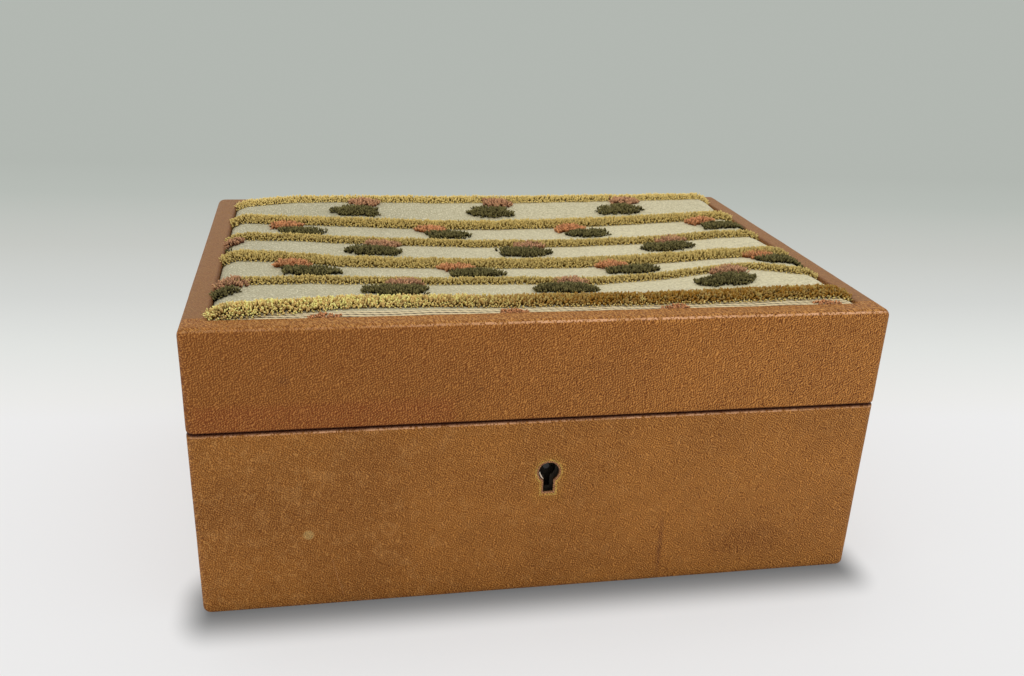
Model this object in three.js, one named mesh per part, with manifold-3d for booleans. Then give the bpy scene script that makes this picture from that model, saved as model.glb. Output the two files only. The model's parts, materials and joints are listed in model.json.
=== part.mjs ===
// A leather-covered jewellery box: a mitred wooden carcass sawn into base and lid, two stop hinges,
// a box lock with its link plate, a padded brocade panel sunk in the lid, and a lift-out tray.
// Millimetres. +Z is up, the keyhole side faces -Y, and the origin is under the middle of the box,
// on the surface that it stands on.
import * as THREE from "three";
import { mergeVertices } from "three/addons/utils/BufferGeometryUtils.js";
import Module from "manifold-3d";

const wasm = await Module();
wasm.setup();

// Driving dimensions of the whole box
const box_width = 230;
const box_depth = 166;
const box_height = 101.5;
const base_height = 67;
const seam_gap = 0.3;

// Layers, from the outside in
const leather = 1;
const paste = 0.2;
const wall = 7.5;
const bottom_board = 5;
const lining = 1.4;
const underside_sheet = 0.8;
const cover = leather + paste;

// Roundings of the leather
const corner_radius = 3;
const top_edge_radius = 2.6;
const rim_edge_radius = 0.9;
const bottom_edge_radius = 2;
const recess_roll_radius = 0.8;

// Turned-in edges under the box, and the sheet that hides them
const turn_in = 12;
const sheet_inset = 5;

// Lid top: the rebate that holds the board, and the recess for the brocade panel
const rebate = 1.4;
const recess_depth = 5.7;
const top_board = 6;
const panel_card = 1.2;
const panel_clearance = 0.4;

// Brocade panel: padded at its edges and sunk in the middle, with raised pile stripes
const pad_edge = 2.9;
const pad_shoulder = 4.9;
const pad_roll_width = 6;
const pad_sag = 3.8;
const sag_centre_share = 0.12;
const sag_powers = { back: 3.2, front: 1.8, ends: 1.5 };
const bulge_height = 1.9;
const bulge_radius = 20;
const bulge_place_shares = [0.76, -0.54];
const back_swell = 1.9;
const back_swell_start = 32;
const back_swell_end = 8;
const back_swell_fade = 28;
const stripe_pitch = 27.3;
const stripe_margin = 1.6;
const stripe_widths = { front: 8.2, wide: 7.6, narrow: 5.4 };
const pile_heights = { front: 3.2, wide: 3.1, narrow: 2.6 };

// Lid lining pad and base floor pad
const lid_pad_edge = 1.6;
const lid_pad_crown = 3.2;
const floor_pad_edge = 2;
const floor_pad_crown = 3;
const pad_clearance = 0.4;
const lining_drop = 0.4;

// Hinges
const hinge_inset = 45;
const leaf_length = 30;
const leaf_thickness = 1.4;
const leaf_reach = 8.4;
const knuckle_count = 5;
const knuckle_gap = 0.3;
const barrel_radius = 2.2;
const axis_offset = 0.6;
const pin_radius = 1;
const pin_clearance = 0.15;
const pin_overhang = 0.5;
const barrel_clearance = 0.3;
const stop_thickness = 1.2;
const stop_reach = 3.9;
const stop_angle_deg = 65;

// Wood screws of the hinges, lock and link plate
const screw_head_radius = 1.7;
const screw_head_depth = 1;
const screw_shank_radius = 0.9;
const screw_length = 7;
const screw_tip = 1.6;
const screw_slot_width = 0.5;
const screw_slot_depth = 0.4;
const screw_sink = 0.05;
const screw_clearance = 0.15;
const screw_end_inset = 6;
const screw_setback = 5.7;

// Lock: a plate with its selvedge in the rim, a case, a drill pin, and a sliding bolt
const keyhole_drop = 19.5;
const keyhole_head_radius = 3.55;
const keyhole_slot_width = 3.5;
const keyhole_slot_drop = 7.5;
const keyhole_wood_relief = 0.5;
const keyhole_metal_margin = 0.7;
const lock_width = 38;
const lock_below_keyhole = 10.5;
const lock_depth = 5.6;
const lock_plate = 1;
const case_wall = 0.8;
const lock_fit = 0.2;
const selvedge_length = 52;
const selvedge_width = 6.4;
const selvedge_thickness = 1.6;
const selvedge_screw_share = 0.5;
const drill_pin_radius = 1.1;
const drill_pin_set_back = 0.8;
const drill_pin_clearance = 0.15;

// Links of the lid's plate, which drop into the lock, and the bolt that passes through their eyes
const link_spacing = 20;
const link_thickness = 2;
const link_width = 3.2;
const link_drop = 9.2;
const link_slot_clearance = 0.5;
const eye_margin = 1.2;
const eye_width = 2;
const bolt_throw = 4;
const bolt_thickness = 1.5;
const bolt_clearance = 0.4;
const tongue_gap = 0.6;
const tongue_height = 2.4;
const post_width = 2;
const bar_height = 4.6;
const bar_overhang = 4;
const talon_width = 5;
const talon_depth = 2.6;
const talon_offset = 2.6;
const spring_span = 8;
const spring_thickness = 0.5;
const spring_width = 1.3;

// Tray that stands on two ledges and lifts out
const tray_clearance = 0.8;
const tray_drop = 1.5;
const tray_height = 18;
const tray_wall = 2.5;
const tray_floor = 2;
const divider_thickness = 2;
const divider_drop = 1.5;
const ledge_width = 3;
const roll_count = 3;
const roll_width = 13;
const roll_edge = 3;
const roll_crown = 11;
const roll_gap = 0.4;
const roll_end_taper = 5;
const tab_width = 10;
const tab_thickness = 0.6;
const tab_fold = 1.6;
const tab_rise = 4;
const tab_depth = 9;

// Modelling values: how far a cutter overruns, and how finely round shapes are divided
const overrun = 1;
const weld = 0.0001;
const corner_steps = 5;
const edge_steps = 4;
const round_steps = 20;
const screw_steps = 16;
const pad_cells = 14;
const panel_cells = 22;
const roll_cells = 12;

// Levels
const leather_bottom = underside_sheet + paste;
const carcass_bottom = leather_bottom + cover;
const floor_level = carcass_bottom + bottom_board;
const base_rim = base_height - cover;
const keyhole_level = base_height - keyhole_drop;
const lid_rim = base_height + seam_gap;
const lid_wood_rim = lid_rim + cover;
const lid_wood_top = box_height - cover;
const recess_floor = box_height - recess_depth;
const board_bottom = recess_floor - top_board;
const card_bottom = recess_floor + paste;
const fabric_bottom = card_bottom + panel_card + paste;
const tray_top = base_height - tray_drop;
const tray_bottom = tray_top - tray_height;

// Plan sizes
const carcass_width = box_width - 2 * cover;
const carcass_depth = box_depth - 2 * cover;
const inner_width = carcass_width - 2 * wall;
const inner_depth = carcass_depth - 2 * wall;
const cavity_width = inner_width - 2 * (paste + lining);
const cavity_depth = inner_depth - 2 * (paste + lining);
const wall_lip = wall - rebate;
const recess_width = carcass_width - 2 * (wall_lip + cover);
const recess_length = carcass_depth - 2 * (wall_lip + cover);
const panel_width = recess_width - 2 * panel_clearance;
const panel_depth = recess_length - 2 * panel_clearance;
const hinge_axis_y = box_depth / 2 + axis_offset;
const hinge_axis_z = base_height + seam_gap / 2;
const hinge_x = box_width / 2 - hinge_inset;

// Materials
const finish = (color, roughness, metalness = 0) =>
  new THREE.MeshStandardMaterial({ color, roughness, metalness });
const tan_leather = finish(0x9a6536, 0.55);
const pine = finish(0xc9a36b, 0.8);
const velvet = finish(0x6d2a33, 0.95);
const satin = finish(0xd9c9a0, 0.5);
const brocade = finish(0xc2a96a, 0.9);
const card = finish(0x8f8468, 0.95);
const baize = finish(0x3c4a33, 0.95);
const brass = finish(0xb08d4a, 0.35, 1);
const steel = finish(0x8a8a88, 0.4, 1);

// Solids and booleans

function solidOf(geometry) {
  const bare = geometry.clone();
  bare.deleteAttribute("normal");
  bare.deleteAttribute("uv");
  const merged = mergeVertices(bare, weld);
  return new wasm.Manifold(
    new wasm.Mesh({
      numProp: 3,
      vertProperties: merged.attributes.position.array,
      triVerts: new Uint32Array(merged.index.array),
    }),
  );
}

function geometryOf(solid) {
  const mesh = solid.getMesh();
  const geometry = new THREE.BufferGeometry();
  geometry.setAttribute("position", new THREE.BufferAttribute(mesh.vertProperties, 3));
  geometry.setIndex(new THREE.BufferAttribute(mesh.triVerts, 1));
  geometry.computeVertexNormals();
  return geometry;
}

function join(first, ...others) {
  return geometryOf(others.reduce((sum, g) => sum.add(solidOf(g)), solidOf(first)));
}

function cut(first, ...cutters) {
  return geometryOf(cutters.reduce((left, g) => left.subtract(solidOf(g)), solidOf(first)));
}

// Shapes

// A box given by its middle in plan, its sizes, and its lowest and highest level.
function block(width, depth, bottom, top, x = 0, y = 0) {
  return new THREE.BoxGeometry(width, depth, top - bottom).translate(x, y, (bottom + top) / 2);
}

// A flat outline in X and Z, given thickness along Y and centred on y.
function standingPlate(shape, thickness, y = 0) {
  const settings = { depth: thickness, bevelEnabled: false, curveSegments: round_steps };
  return new THREE.ExtrudeGeometry(shape, settings)
    .rotateX(Math.PI / 2)
    .translate(0, y + thickness / 2, 0);
}

// A cylinder along X.
function rod(radius, length, x, y, z) {
  return new THREE.CylinderGeometry(radius, radius, length, round_steps)
    .rotateZ(Math.PI / 2)
    .translate(x, y, z);
}

function polygon(points) {
  return new THREE.Shape(points.map(([x, y]) => new THREE.Vector2(x, y)));
}

// The points of a rectangle with round corners, anticlockwise from its right side.
function roundedOutline(width, depth, radius) {
  const points = [];
  const corners = [
    [1, 1, 0],
    [-1, 1, 1],
    [-1, -1, 2],
    [1, -1, 3],
  ];
  for (const [sx, sy, quarter] of corners)
    for (let i = 0; i <= corner_steps; i++) {
      const angle = (Math.PI / 2) * (quarter + i / corner_steps);
      points.push([
        sx * (width / 2 - radius) + radius * Math.cos(angle),
        sy * (depth / 2 - radius) + radius * Math.sin(angle),
      ]);
    }
  return points;
}

// A solid through a stack of rectangles with round corners: { width, depth, radius, level }, lowest first.
function loft(rings) {
  const around = 4 * (corner_steps + 1);
  const points = [];
  const faces = [];
  for (const ring of rings)
    for (const [x, y] of roundedOutline(ring.width, ring.depth, ring.radius)) points.push(x, y, ring.level);
  for (let k = 0; k + 1 < rings.length; k++)
    for (let i = 0; i < around; i++) {
      const a = k * around + i;
      const b = k * around + ((i + 1) % around);
      faces.push(a, b, b + around, a, b + around, a + around);
    }
  const top = (rings.length - 1) * around;
  for (let i = 1; i + 1 < around; i++) {
    faces.push(0, i + 1, i);
    faces.push(top, top + i, top + i + 1);
  }
  const geometry = new THREE.BufferGeometry();
  geometry.setAttribute("position", new THREE.Float32BufferAttribute(points, 3));
  geometry.setIndex(faces);
  geometry.computeVertexNormals();
  return geometry;
}

// A box with round upright corners and round lower and upper edges.
function roundedBlock(width, depth, bottom, top, corner, lower_radius, upper_radius) {
  const rings = [];
  const ring = (inset, level) => ({
    width: width - 2 * inset,
    depth: depth - 2 * inset,
    radius: Math.max(corner - inset, corner / round_steps),
    level,
  });
  for (let i = 0; i <= edge_steps; i++) {
    const angle = (Math.PI / 2) * (i / edge_steps);
    rings.push(ring(lower_radius * (1 - Math.sin(angle)), bottom + lower_radius * (1 - Math.cos(angle))));
  }
  for (let i = 0; i <= edge_steps; i++) {
    const angle = (Math.PI / 2) * (i / edge_steps);
    rings.push(ring(upper_radius * (1 - Math.cos(angle)), top - upper_radius * (1 - Math.sin(angle))));
  }
  return loft(rings);
}

// A pad with a flat underside at level 0 and a grid of points on its upper side: pointAt(i, j), where
// i counts across, along X, and j counts along, along Y.
function reliefBlock(across, along, pointAt) {
  const points = [];
  const faces = [];
  for (let j = 0; j < along; j++) for (let i = 0; i < across; i++) points.push(...pointAt(i, j));
  for (let j = 0; j + 1 < along; j++)
    for (let i = 0; i + 1 < across; i++) {
      const a = j * across + i;
      faces.push(a, a + 1, a + across + 1, a, a + across + 1, a + across);
    }
  const rim = [];
  for (let i = 0; i + 1 < across; i++) rim.push(i);
  for (let j = 0; j + 1 < along; j++) rim.push(j * across + across - 1);
  for (let i = across - 1; i > 0; i--) rim.push((along - 1) * across + i);
  for (let j = along - 1; j > 0; j--) rim.push(j * across);
  const lower = points.length / 3;
  for (const at of rim) points.push(points[3 * at], points[3 * at + 1], 0);
  const middle = points.length / 3;
  points.push(0, 0, 0);
  rim.forEach((at, k) => {
    const next = (k + 1) % rim.length;
    faces.push(at, lower + k, lower + next, at, lower + next, rim[next]);
    faces.push(middle, lower + next, lower + k);
  });
  const geometry = new THREE.BufferGeometry();
  geometry.setAttribute("position", new THREE.Float32BufferAttribute(points, 3));
  geometry.setIndex(faces);
  geometry.computeVertexNormals();
  return geometry;
}

// The same on straight lines at xs and ys, with its upper side at height(x, y).
function squarePad(xs, ys, height) {
  return reliefBlock(xs.length, ys.length, (i, j) => [xs[i], ys[j], height(xs[i], ys[j])]);
}

// Grid lines across a pad, closer together near its ends.
function padLines(length, count) {
  return Array.from({ length: count + 1 }, (_, i) => (-length / 2) * Math.cos((Math.PI * i) / count));
}

// How far a pad has risen at a point: 0 at its edge, 1 inside the roll width.
function edgeRoll(x, y, width, depth, roll) {
  const inside = Math.min(width / 2 - Math.abs(x), depth / 2 - Math.abs(y));
  return Math.sin((Math.PI / 2) * Math.min(1, Math.max(0, inside / roll)));
}

function crownedPad(width, depth, edge, crown, roll) {
  return squarePad(padLines(width, pad_cells), padLines(depth, pad_cells), (x, y) => {
    const dome = (1 - (2 * x / width) ** 2) * (1 - (2 * y / depth) ** 2);
    const roll_share = edgeRoll(x, y, width, depth, roll);
    return edge + (crown - edge) * (roll_share + dome) / 2;
  });
}

// A keyhole's outline in X and Z: a round head with a slot below it, all grown by the same amount.
function keyholeShape(grow) {
  const head = keyhole_head_radius + grow;
  const half_slot = keyhole_slot_width / 2 + grow;
  const start = -Math.PI / 2 + Math.asin(half_slot / head);
  const shape = new THREE.Shape();
  shape.moveTo(half_slot, -keyhole_slot_drop - grow);
  shape.lineTo(half_slot, head * Math.sin(start));
  shape.absarc(0, 0, head, start, Math.PI - start, false);
  shape.lineTo(-half_slot, -keyhole_slot_drop - grow);
  shape.closePath();
  return shape;
}

function keyholeCutter(grow, depth, y) {
  return standingPlate(keyholeShape(grow), depth, y).translate(0, 0, keyhole_level);
}

// A slotted countersunk wood screw, its head's face at level 0 and its tip down, or the hole for it.
function screwBody(grow) {
  const profile = [
    [0, -screw_length - grow],
    [screw_shank_radius + grow, -screw_length + screw_tip - grow],
    [screw_shank_radius + grow, -screw_head_depth],
    [screw_head_radius + grow, 0],
  ];
  if (grow > 0) profile.push([screw_head_radius + grow, overrun]);
  profile.push([0, grow > 0 ? overrun : 0]);
  const points = profile.map(([r, z]) => new THREE.Vector2(r, z));
  return new THREE.LatheGeometry(points, screw_steps).rotateX(Math.PI / 2);
}

function screw() {
  const slot = block(
    2 * (screw_head_radius + overrun),
    screw_slot_width,
    -screw_slot_depth,
    overrun,
  );
  return cut(screwBody(0), slot);
}

// A carcass wall in plan: mitred at both ends, its outer face on y = 0 and its thickness towards +Y.
function mitredWall(length, thickness, height) {
  const half = length / 2 - paste;
  const plan = polygon([
    [-half, 0],
    [half, 0],
    [half - thickness, thickness],
    [-half + thickness, thickness],
  ]);
  return new THREE.ExtrudeGeometry(plan, { depth: height, bevelEnabled: false });
}

// Scene helpers

function mesh(name, geometry, material, x = 0, y = 0, z = 0) {
  const made = new THREE.Mesh(geometry, material);
  made.name = name;
  made.position.set(x, y, z);
  return made;
}

// The four walls of the base or the lid: where each one's outer face is, and how it is turned.
const wall_places = {
  front: { x: 0, y: -carcass_depth / 2, turn: 0, length: carcass_width },
  back: { x: 0, y: carcass_depth / 2, turn: Math.PI, length: carcass_width },
  left: { x: -carcass_width / 2, y: 0, turn: -Math.PI / 2, length: carcass_depth },
  right: { x: carcass_width / 2, y: 0, turn: Math.PI / 2, length: carcass_depth },
};

// A wall in the box's own frame, ready for its mortises to be cut.
function placedWall(side, make) {
  const place = wall_places[side];
  return make(place.length).rotateZ(place.turn).translate(place.x, place.y, 0);
}

// Hinges

const knuckle_length = leaf_length / knuckle_count;
const leaf_sides = { left: -hinge_x, right: hinge_x };

// The middles of the knuckles of one leaf, along the hinge: the base has the outer ones.
function knucklePlaces(on_lid) {
  const places = [];
  for (let i = on_lid ? 1 : 0; i < knuckle_count; i += 2)
    places.push(-leaf_length / 2 + (i + 1 / 2) * knuckle_length);
  return places;
}

// The stop lip behind the barrel: a flat bar that stands out from the axis at an angle.
function stopLip(length, x, inner, angle) {
  const half = stop_thickness / 2;
  return block(length, stop_reach - inner, -half, half, x, (stop_reach + inner) / 2).rotateX(angle);
}

// A leaf with its knuckles, in the hinge's own frame: axis on X, box towards -Y, base leaf below.
function hingeLeaf(on_lid) {
  const side = on_lid ? 1 : -1;
  const face = (side * seam_gap) / 2;
  const back = face + side * leaf_thickness;
  const free_radius = barrel_radius + barrel_clearance;
  const stop_angle = (side * stop_angle_deg * Math.PI) / 180;
  const low = Math.min(face, back);
  const plate = block(leaf_length, leaf_reach, low, low + leaf_thickness, 0, -leaf_reach / 2);
  const gaps = knucklePlaces(!on_lid).map((x) => rod(free_radius, knuckle_length + knuckle_gap, x, 0, 0));
  const width = knuckle_length - knuckle_gap;
  const knuckles = knucklePlaces(on_lid).map((x) => rod(barrel_radius, width, x, 0, 0));
  const lips = on_lid
    ? knucklePlaces(true).map((x) => stopLip(width, x, pin_radius, stop_angle))
    : [
        stopLip(leaf_length - knuckle_gap, 0, free_radius, stop_angle),
        ...knucklePlaces(false).map((x) => stopLip(width, x, pin_radius, stop_angle)),
      ];
  const bore = rod(pin_radius + pin_clearance, leaf_length + 2 * overrun, 0, 0, 0);
  const holes = leafScrewPlaces().map(([x, y]) => leafScrewHole(on_lid).translate(x, y, face));
  return cut(join(cut(plate, ...gaps), ...knuckles, ...lips), bore, ...holes);
}

function leafScrewPlaces() {
  const x = leaf_length / 2 - screw_end_inset;
  return [
    [-x, -screw_setback],
    [x, -screw_setback],
  ];
}

function leafScrewHole(on_lid) {
  const hole = screwBody(screw_clearance);
  return on_lid ? hole.rotateX(Math.PI) : hole;
}

// What the hinges take away from the wood and leather of the base or the lid.
function hingeCutters(on_lid) {
  const side = on_lid ? 1 : -1;
  const face = hinge_axis_z + (side * seam_gap) / 2;
  const depth = face + side * (leaf_thickness + lock_fit);
  const open = face - side * overrun;
  const cutters = [];
  for (const x of Object.values(leaf_sides)) {
    const reach = leaf_reach + lock_fit;
    cutters.push(
      block(
        leaf_length + 2 * lock_fit,
        reach,
        Math.min(depth, open),
        Math.max(depth, open),
        x,
        hinge_axis_y - reach / 2,
      ),
      rod(barrel_radius + barrel_clearance, leaf_length + 2 * lock_fit, x, hinge_axis_y, hinge_axis_z),
      rod(
        pin_radius + barrel_clearance,
        leaf_length + 2 * (pin_overhang + barrel_clearance),
        x,
        hinge_axis_y,
        hinge_axis_z,
      ),
    );
    for (const [dx, dy] of leafScrewPlaces())
      cutters.push(leafScrewHole(on_lid).translate(x + dx, hinge_axis_y + dy, face));
  }
  return cutters;
}

function addHinges(base, lid) {
  for (const [side, x] of Object.entries(leaf_sides))
    for (const on_lid of [false, true]) {
      const owner = on_lid ? lid : base;
      const half = on_lid ? "lid" : "base";
      const face = hinge_axis_z + ((on_lid ? 1 : -1) * seam_gap) / 2;
      owner.add(mesh(`hinge_${side}_${half}_leaf`, hingeLeaf(on_lid), brass, x, hinge_axis_y, hinge_axis_z));
      leafScrewPlaces().forEach(([dx, dy], i) => {
        const sink = (on_lid ? 1 : -1) * screw_sink;
        const fixing = mesh(
          `hinge_${side}_${half}_screw_${i + 1}`,
          screw(),
          brass,
          x + dx,
          hinge_axis_y + dy,
          face + sink,
        );
        if (on_lid) fixing.rotation.x = Math.PI;
        owner.add(fixing);
      });
      if (!on_lid)
        owner.add(
          mesh(
            `hinge_${side}_pin`,
            rod(pin_radius, leaf_length + 2 * pin_overhang, 0, 0, 0),
            steel,
            x,
            hinge_axis_y,
            hinge_axis_z,
          ),
        );
    }
}

// Lock

const front_inner_face = -inner_depth / 2;
const lock_front = front_inner_face - lock_depth;
const lock_bottom = keyhole_level - lock_below_keyhole;
const selvedge_bottom = base_height - selvedge_thickness;
const selvedge_y = front_inner_face - selvedge_width / 2;
const case_depth = lock_depth - lock_plate - paste;
const bolt_y = front_inner_face - lock_plate - paste - (case_depth - case_wall) / 2;
const link_bottom = lid_rim - link_drop;
const eye_bottom = link_bottom + eye_margin;
const tongue_bottom = eye_bottom + bolt_clearance;
const bar_top = link_bottom - bolt_clearance;
const bar_bottom = bar_top - bar_height;
const link_places = [-link_spacing / 2, link_spacing / 2];
const selvedge_ear = (selvedge_length - lock_width) / 2;
const selvedge_screw_x = lock_width / 2 + selvedge_ear * selvedge_screw_share;

function selvedgeScrewHoles(z, turned) {
  return [-selvedge_screw_x, selvedge_screw_x].map((x) => {
    const hole = screwBody(screw_clearance);
    return (turned ? hole.rotateX(Math.PI) : hole).translate(x, selvedge_y, z);
  });
}

// The back plate and the selvedge, bent from one strip, with slots for the links.
function lockPlate() {
  const plate = block(
    lock_width,
    lock_plate,
    lock_bottom,
    base_height - selvedge_thickness / 2,
    0,
    front_inner_face - lock_plate / 2,
  );
  const selvedge = block(selvedge_length, selvedge_width, selvedge_bottom, base_height, 0, selvedge_y);
  const slots = link_places.map((x) =>
    block(
      link_thickness + 2 * link_slot_clearance,
      link_width + 2 * link_slot_clearance,
      selvedge_bottom - overrun,
      base_height + overrun,
      x,
      bolt_y,
    ),
  );
  const rivet_hole = new THREE.CylinderGeometry(
    drill_pin_radius + drill_pin_clearance,
    drill_pin_radius + drill_pin_clearance,
    lock_plate + 2 * overrun,
    round_steps,
  ).translate(0, front_inner_face - lock_plate / 2, keyhole_level);
  return cut(join(plate, selvedge), ...slots, rivet_hole, ...selvedgeScrewHoles(base_height, false));
}

// The case: a shallow tray, open to the back plate and to the selvedge, pierced by the keyhole.
function lockCase() {
  const top = selvedge_bottom - paste;
  const shell = block(lock_width, case_depth, lock_bottom, top, 0, lock_front + case_depth / 2);
  const hollow = block(
    lock_width - 2 * case_wall,
    case_depth,
    lock_bottom + case_wall,
    top + overrun,
    0,
    lock_front + case_wall + case_depth / 2,
  );
  return cut(shell, hollow, keyholeCutter(-keyhole_metal_margin, case_wall + 2 * overrun, lock_front));
}

function drillPin() {
  const length = lock_depth - case_wall - drill_pin_set_back;
  return new THREE.CylinderGeometry(drill_pin_radius, drill_pin_radius, length, round_steps).translate(
    0,
    front_inner_face - length / 2,
    keyhole_level,
  );
}

// The bolt: a bar with a talon for the key, and a hooked tongue before each link.
function lockBolt() {
  const right_end = link_places[1] - link_thickness / 2 - bolt_clearance - bolt_throw + bar_overhang;
  const left_end = link_places[0] - link_thickness / 2 - bolt_clearance - bolt_throw - post_width;
  const talon_left = talon_offset - talon_width / 2;
  const talon_right = talon_offset + talon_width / 2;
  const bar = polygon([
    [left_end, bar_bottom],
    [talon_left, bar_bottom],
    [talon_left, bar_bottom + talon_depth],
    [talon_right, bar_bottom + talon_depth],
    [talon_right, bar_bottom],
    [right_end, bar_bottom],
    [right_end, bar_top],
    [left_end, bar_top],
  ]);
  const hooks = link_places.map((link) => {
    const tip = link - link_thickness / 2 - tongue_gap;
    const post_right = link - link_thickness / 2 - bolt_clearance - bolt_throw;
    return polygon([
      [post_right - post_width, bar_bottom + bar_height / 2],
      [post_right, bar_bottom + bar_height / 2],
      [post_right, tongue_bottom],
      [tip, tongue_bottom],
      [tip, tongue_bottom + tongue_height],
      [post_right - post_width, tongue_bottom + tongue_height],
    ]);
  });
  return join(...[bar, ...hooks].map((shape) => standingPlate(shape, bolt_thickness)));
}

// A bow spring between the bolt and the selvedge.
function boltSpring() {
  const rise = selvedge_bottom - bar_top - 2 * bolt_clearance;
  const radius = (spring_span ** 2 / 4 + rise ** 2) / (2 * rise);
  const half_angle = Math.asin(Math.min(1, spring_span / 2 / radius));
  const sweep = rise > radius ? Math.PI - half_angle : half_angle;
  const shape = new THREE.Shape();
  shape.absarc(0, rise - radius, radius, Math.PI / 2 - sweep, Math.PI / 2 + sweep, false);
  shape.absarc(0, rise - radius, radius - spring_thickness, Math.PI / 2 + sweep, Math.PI / 2 - sweep, true);
  return standingPlate(shape, spring_width);
}

// The lid's plate with its two links, each pierced by an eye along X.
function linkPlate() {
  const plate = block(selvedge_length, selvedge_width, lid_rim, lid_rim + selvedge_thickness, 0, selvedge_y);
  const links = link_places.map((x) =>
    block(link_thickness, link_width, link_bottom, lid_rim + selvedge_thickness / 2, x, bolt_y),
  );
  const eyes = link_places.map((x) =>
    block(
      link_thickness + 2 * overrun,
      eye_width,
      eye_bottom,
      eye_bottom + tongue_height + 2 * bolt_clearance,
      x,
      bolt_y,
    ),
  );
  return cut(join(plate, ...links), ...eyes, ...selvedgeScrewHoles(lid_rim, true));
}

function selvedgeMortise(bottom, top) {
  const depth = selvedge_width + lock_fit;
  return block(
    selvedge_length + 2 * lock_fit,
    depth,
    bottom,
    top,
    0,
    front_inner_face - selvedge_width - lock_fit + depth / 2,
  );
}

function addLock(base, lid, bolt) {
  base.add(mesh("lock_plate", lockPlate(), brass));
  base.add(mesh("lock_case", lockCase(), brass));
  base.add(mesh("lock_drill_pin", drillPin(), steel));
  lid.add(mesh("link_plate", linkPlate(), brass));
  for (const [side, sign] of [
    ["left", -1],
    ["right", 1],
  ]) {
    const x = sign * selvedge_screw_x;
    base.add(mesh(`lock_screw_${side}`, screw(), brass, x, selvedge_y, base_height - screw_sink));
    const fixing = mesh(`link_screw_${side}`, screw(), brass, x, selvedge_y, lid_rim + screw_sink);
    fixing.rotation.x = Math.PI;
    lid.add(fixing);
  }
  bolt.add(mesh("lock_bolt", lockBolt(), brass, 0, bolt_y, 0));
  const left_link_face = link_places[0] + link_thickness / 2;
  const right_post_face = link_places[1] - link_thickness / 2 - bolt_clearance - bolt_throw - post_width;
  bolt.add(
    mesh(
      "lock_bolt_spring",
      boltSpring(),
      steel,
      (left_link_face + right_post_face) / 2,
      bolt_y,
      bar_top + bolt_clearance,
    ),
  );
}

// Base

function addBaseCarcass(base) {
  const wood_height = base_rim - floor_level - paste;
  const plain = (length) => mitredWall(length, wall, wood_height).translate(0, 0, floor_level + paste);
  const pocket = block(
    lock_width + 2 * lock_fit,
    lock_depth + lock_fit + overrun,
    lock_bottom - lock_fit,
    base_height,
    0,
    lock_front - lock_fit + (lock_depth + lock_fit + overrun) / 2,
  );
  const front = cut(
    placedWall("front", plain),
    pocket,
    selvedgeMortise(selvedge_bottom - lock_fit, base_height),
    keyholeCutter(keyhole_wood_relief, box_depth / 2 + lock_front, (lock_front - box_depth / 2) / 2),
    ...selvedgeScrewHoles(base_height, false),
  );
  base.add(mesh("base_front_panel", front, pine));
  base.add(mesh("base_back_panel", cut(placedWall("back", plain), ...hingeCutters(false)), pine));
  base.add(mesh("base_left_panel", placedWall("left", plain), pine));
  base.add(mesh("base_right_panel", placedWall("right", plain), pine));
  base.add(mesh("base_bottom_board", block(carcass_width, carcass_depth, carcass_bottom, floor_level), pine));
}

function addBaseLeather(base) {
  const outer = roundedBlock(
    box_width,
    box_depth,
    leather_bottom,
    base_height,
    corner_radius,
    bottom_edge_radius,
    rim_edge_radius,
  );
  const hollow = block(
    box_width - 2 * leather,
    box_depth - 2 * leather,
    leather_bottom + leather,
    base_height - leather,
  );
  const mouth = block(inner_width, inner_depth, base_height - wall, base_height + overrun);
  const under = block(
    box_width - 2 * turn_in,
    box_depth - 2 * turn_in,
    leather_bottom - overrun,
    leather_bottom + wall,
  );
  const skin = cut(
    outer,
    hollow,
    mouth,
    under,
    keyholeCutter(0, 2 * (leather + overrun), -box_depth / 2),
    selvedgeMortise(selvedge_bottom - lock_fit, base_height + overrun),
    ...hingeCutters(false),
  );
  base.add(mesh("base_leather", skin, tan_leather));
  const sheet = block(box_width - 2 * sheet_inset, box_depth - 2 * sheet_inset, 0, underside_sheet);
  base.add(mesh("base_underside_sheet", sheet, baize));
}

// Lining boards of the base or lid: two long ones, and two short ones between them.
function addLinings(owner, half, bottom, top, material) {
  const long_y = inner_depth / 2 - paste - lining / 2;
  const short_x = inner_width / 2 - paste - lining / 2;
  const long_board = () => block(inner_width - 2 * paste, lining, bottom, top);
  const short_board = () => block(lining, inner_depth - 2 * (2 * paste + lining), bottom, top);
  owner.add(mesh(`${half}_lining_front`, long_board(), material, 0, -long_y));
  owner.add(mesh(`${half}_lining_back`, long_board(), material, 0, long_y));
  owner.add(mesh(`${half}_lining_left`, short_board(), material, -short_x));
  owner.add(mesh(`${half}_lining_right`, short_board(), material, short_x));
}

function addBaseInside(base) {
  addLinings(base, "base", floor_level + paste, base_height - lining_drop, velvet);
  const pad = crownedPad(
    cavity_width - 2 * pad_clearance,
    cavity_depth - 2 * pad_clearance,
    floor_pad_edge,
    floor_pad_crown,
    pad_roll_width,
  );
  base.add(mesh("base_floor_pad", pad, velvet, 0, 0, floor_level + paste));
  for (const [side, sign] of [
    ["left", -1],
    ["right", 1],
  ]) {
    const rail = block(
      ledge_width,
      cavity_depth - 2 * paste,
      floor_level + 2 * paste + floor_pad_crown,
      tray_bottom - paste,
    );
    const x = sign * (cavity_width / 2 - paste - ledge_width / 2);
    base.add(mesh(`tray_ledge_${side}`, rail, velvet, x));
  }
}

// Lid

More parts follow.
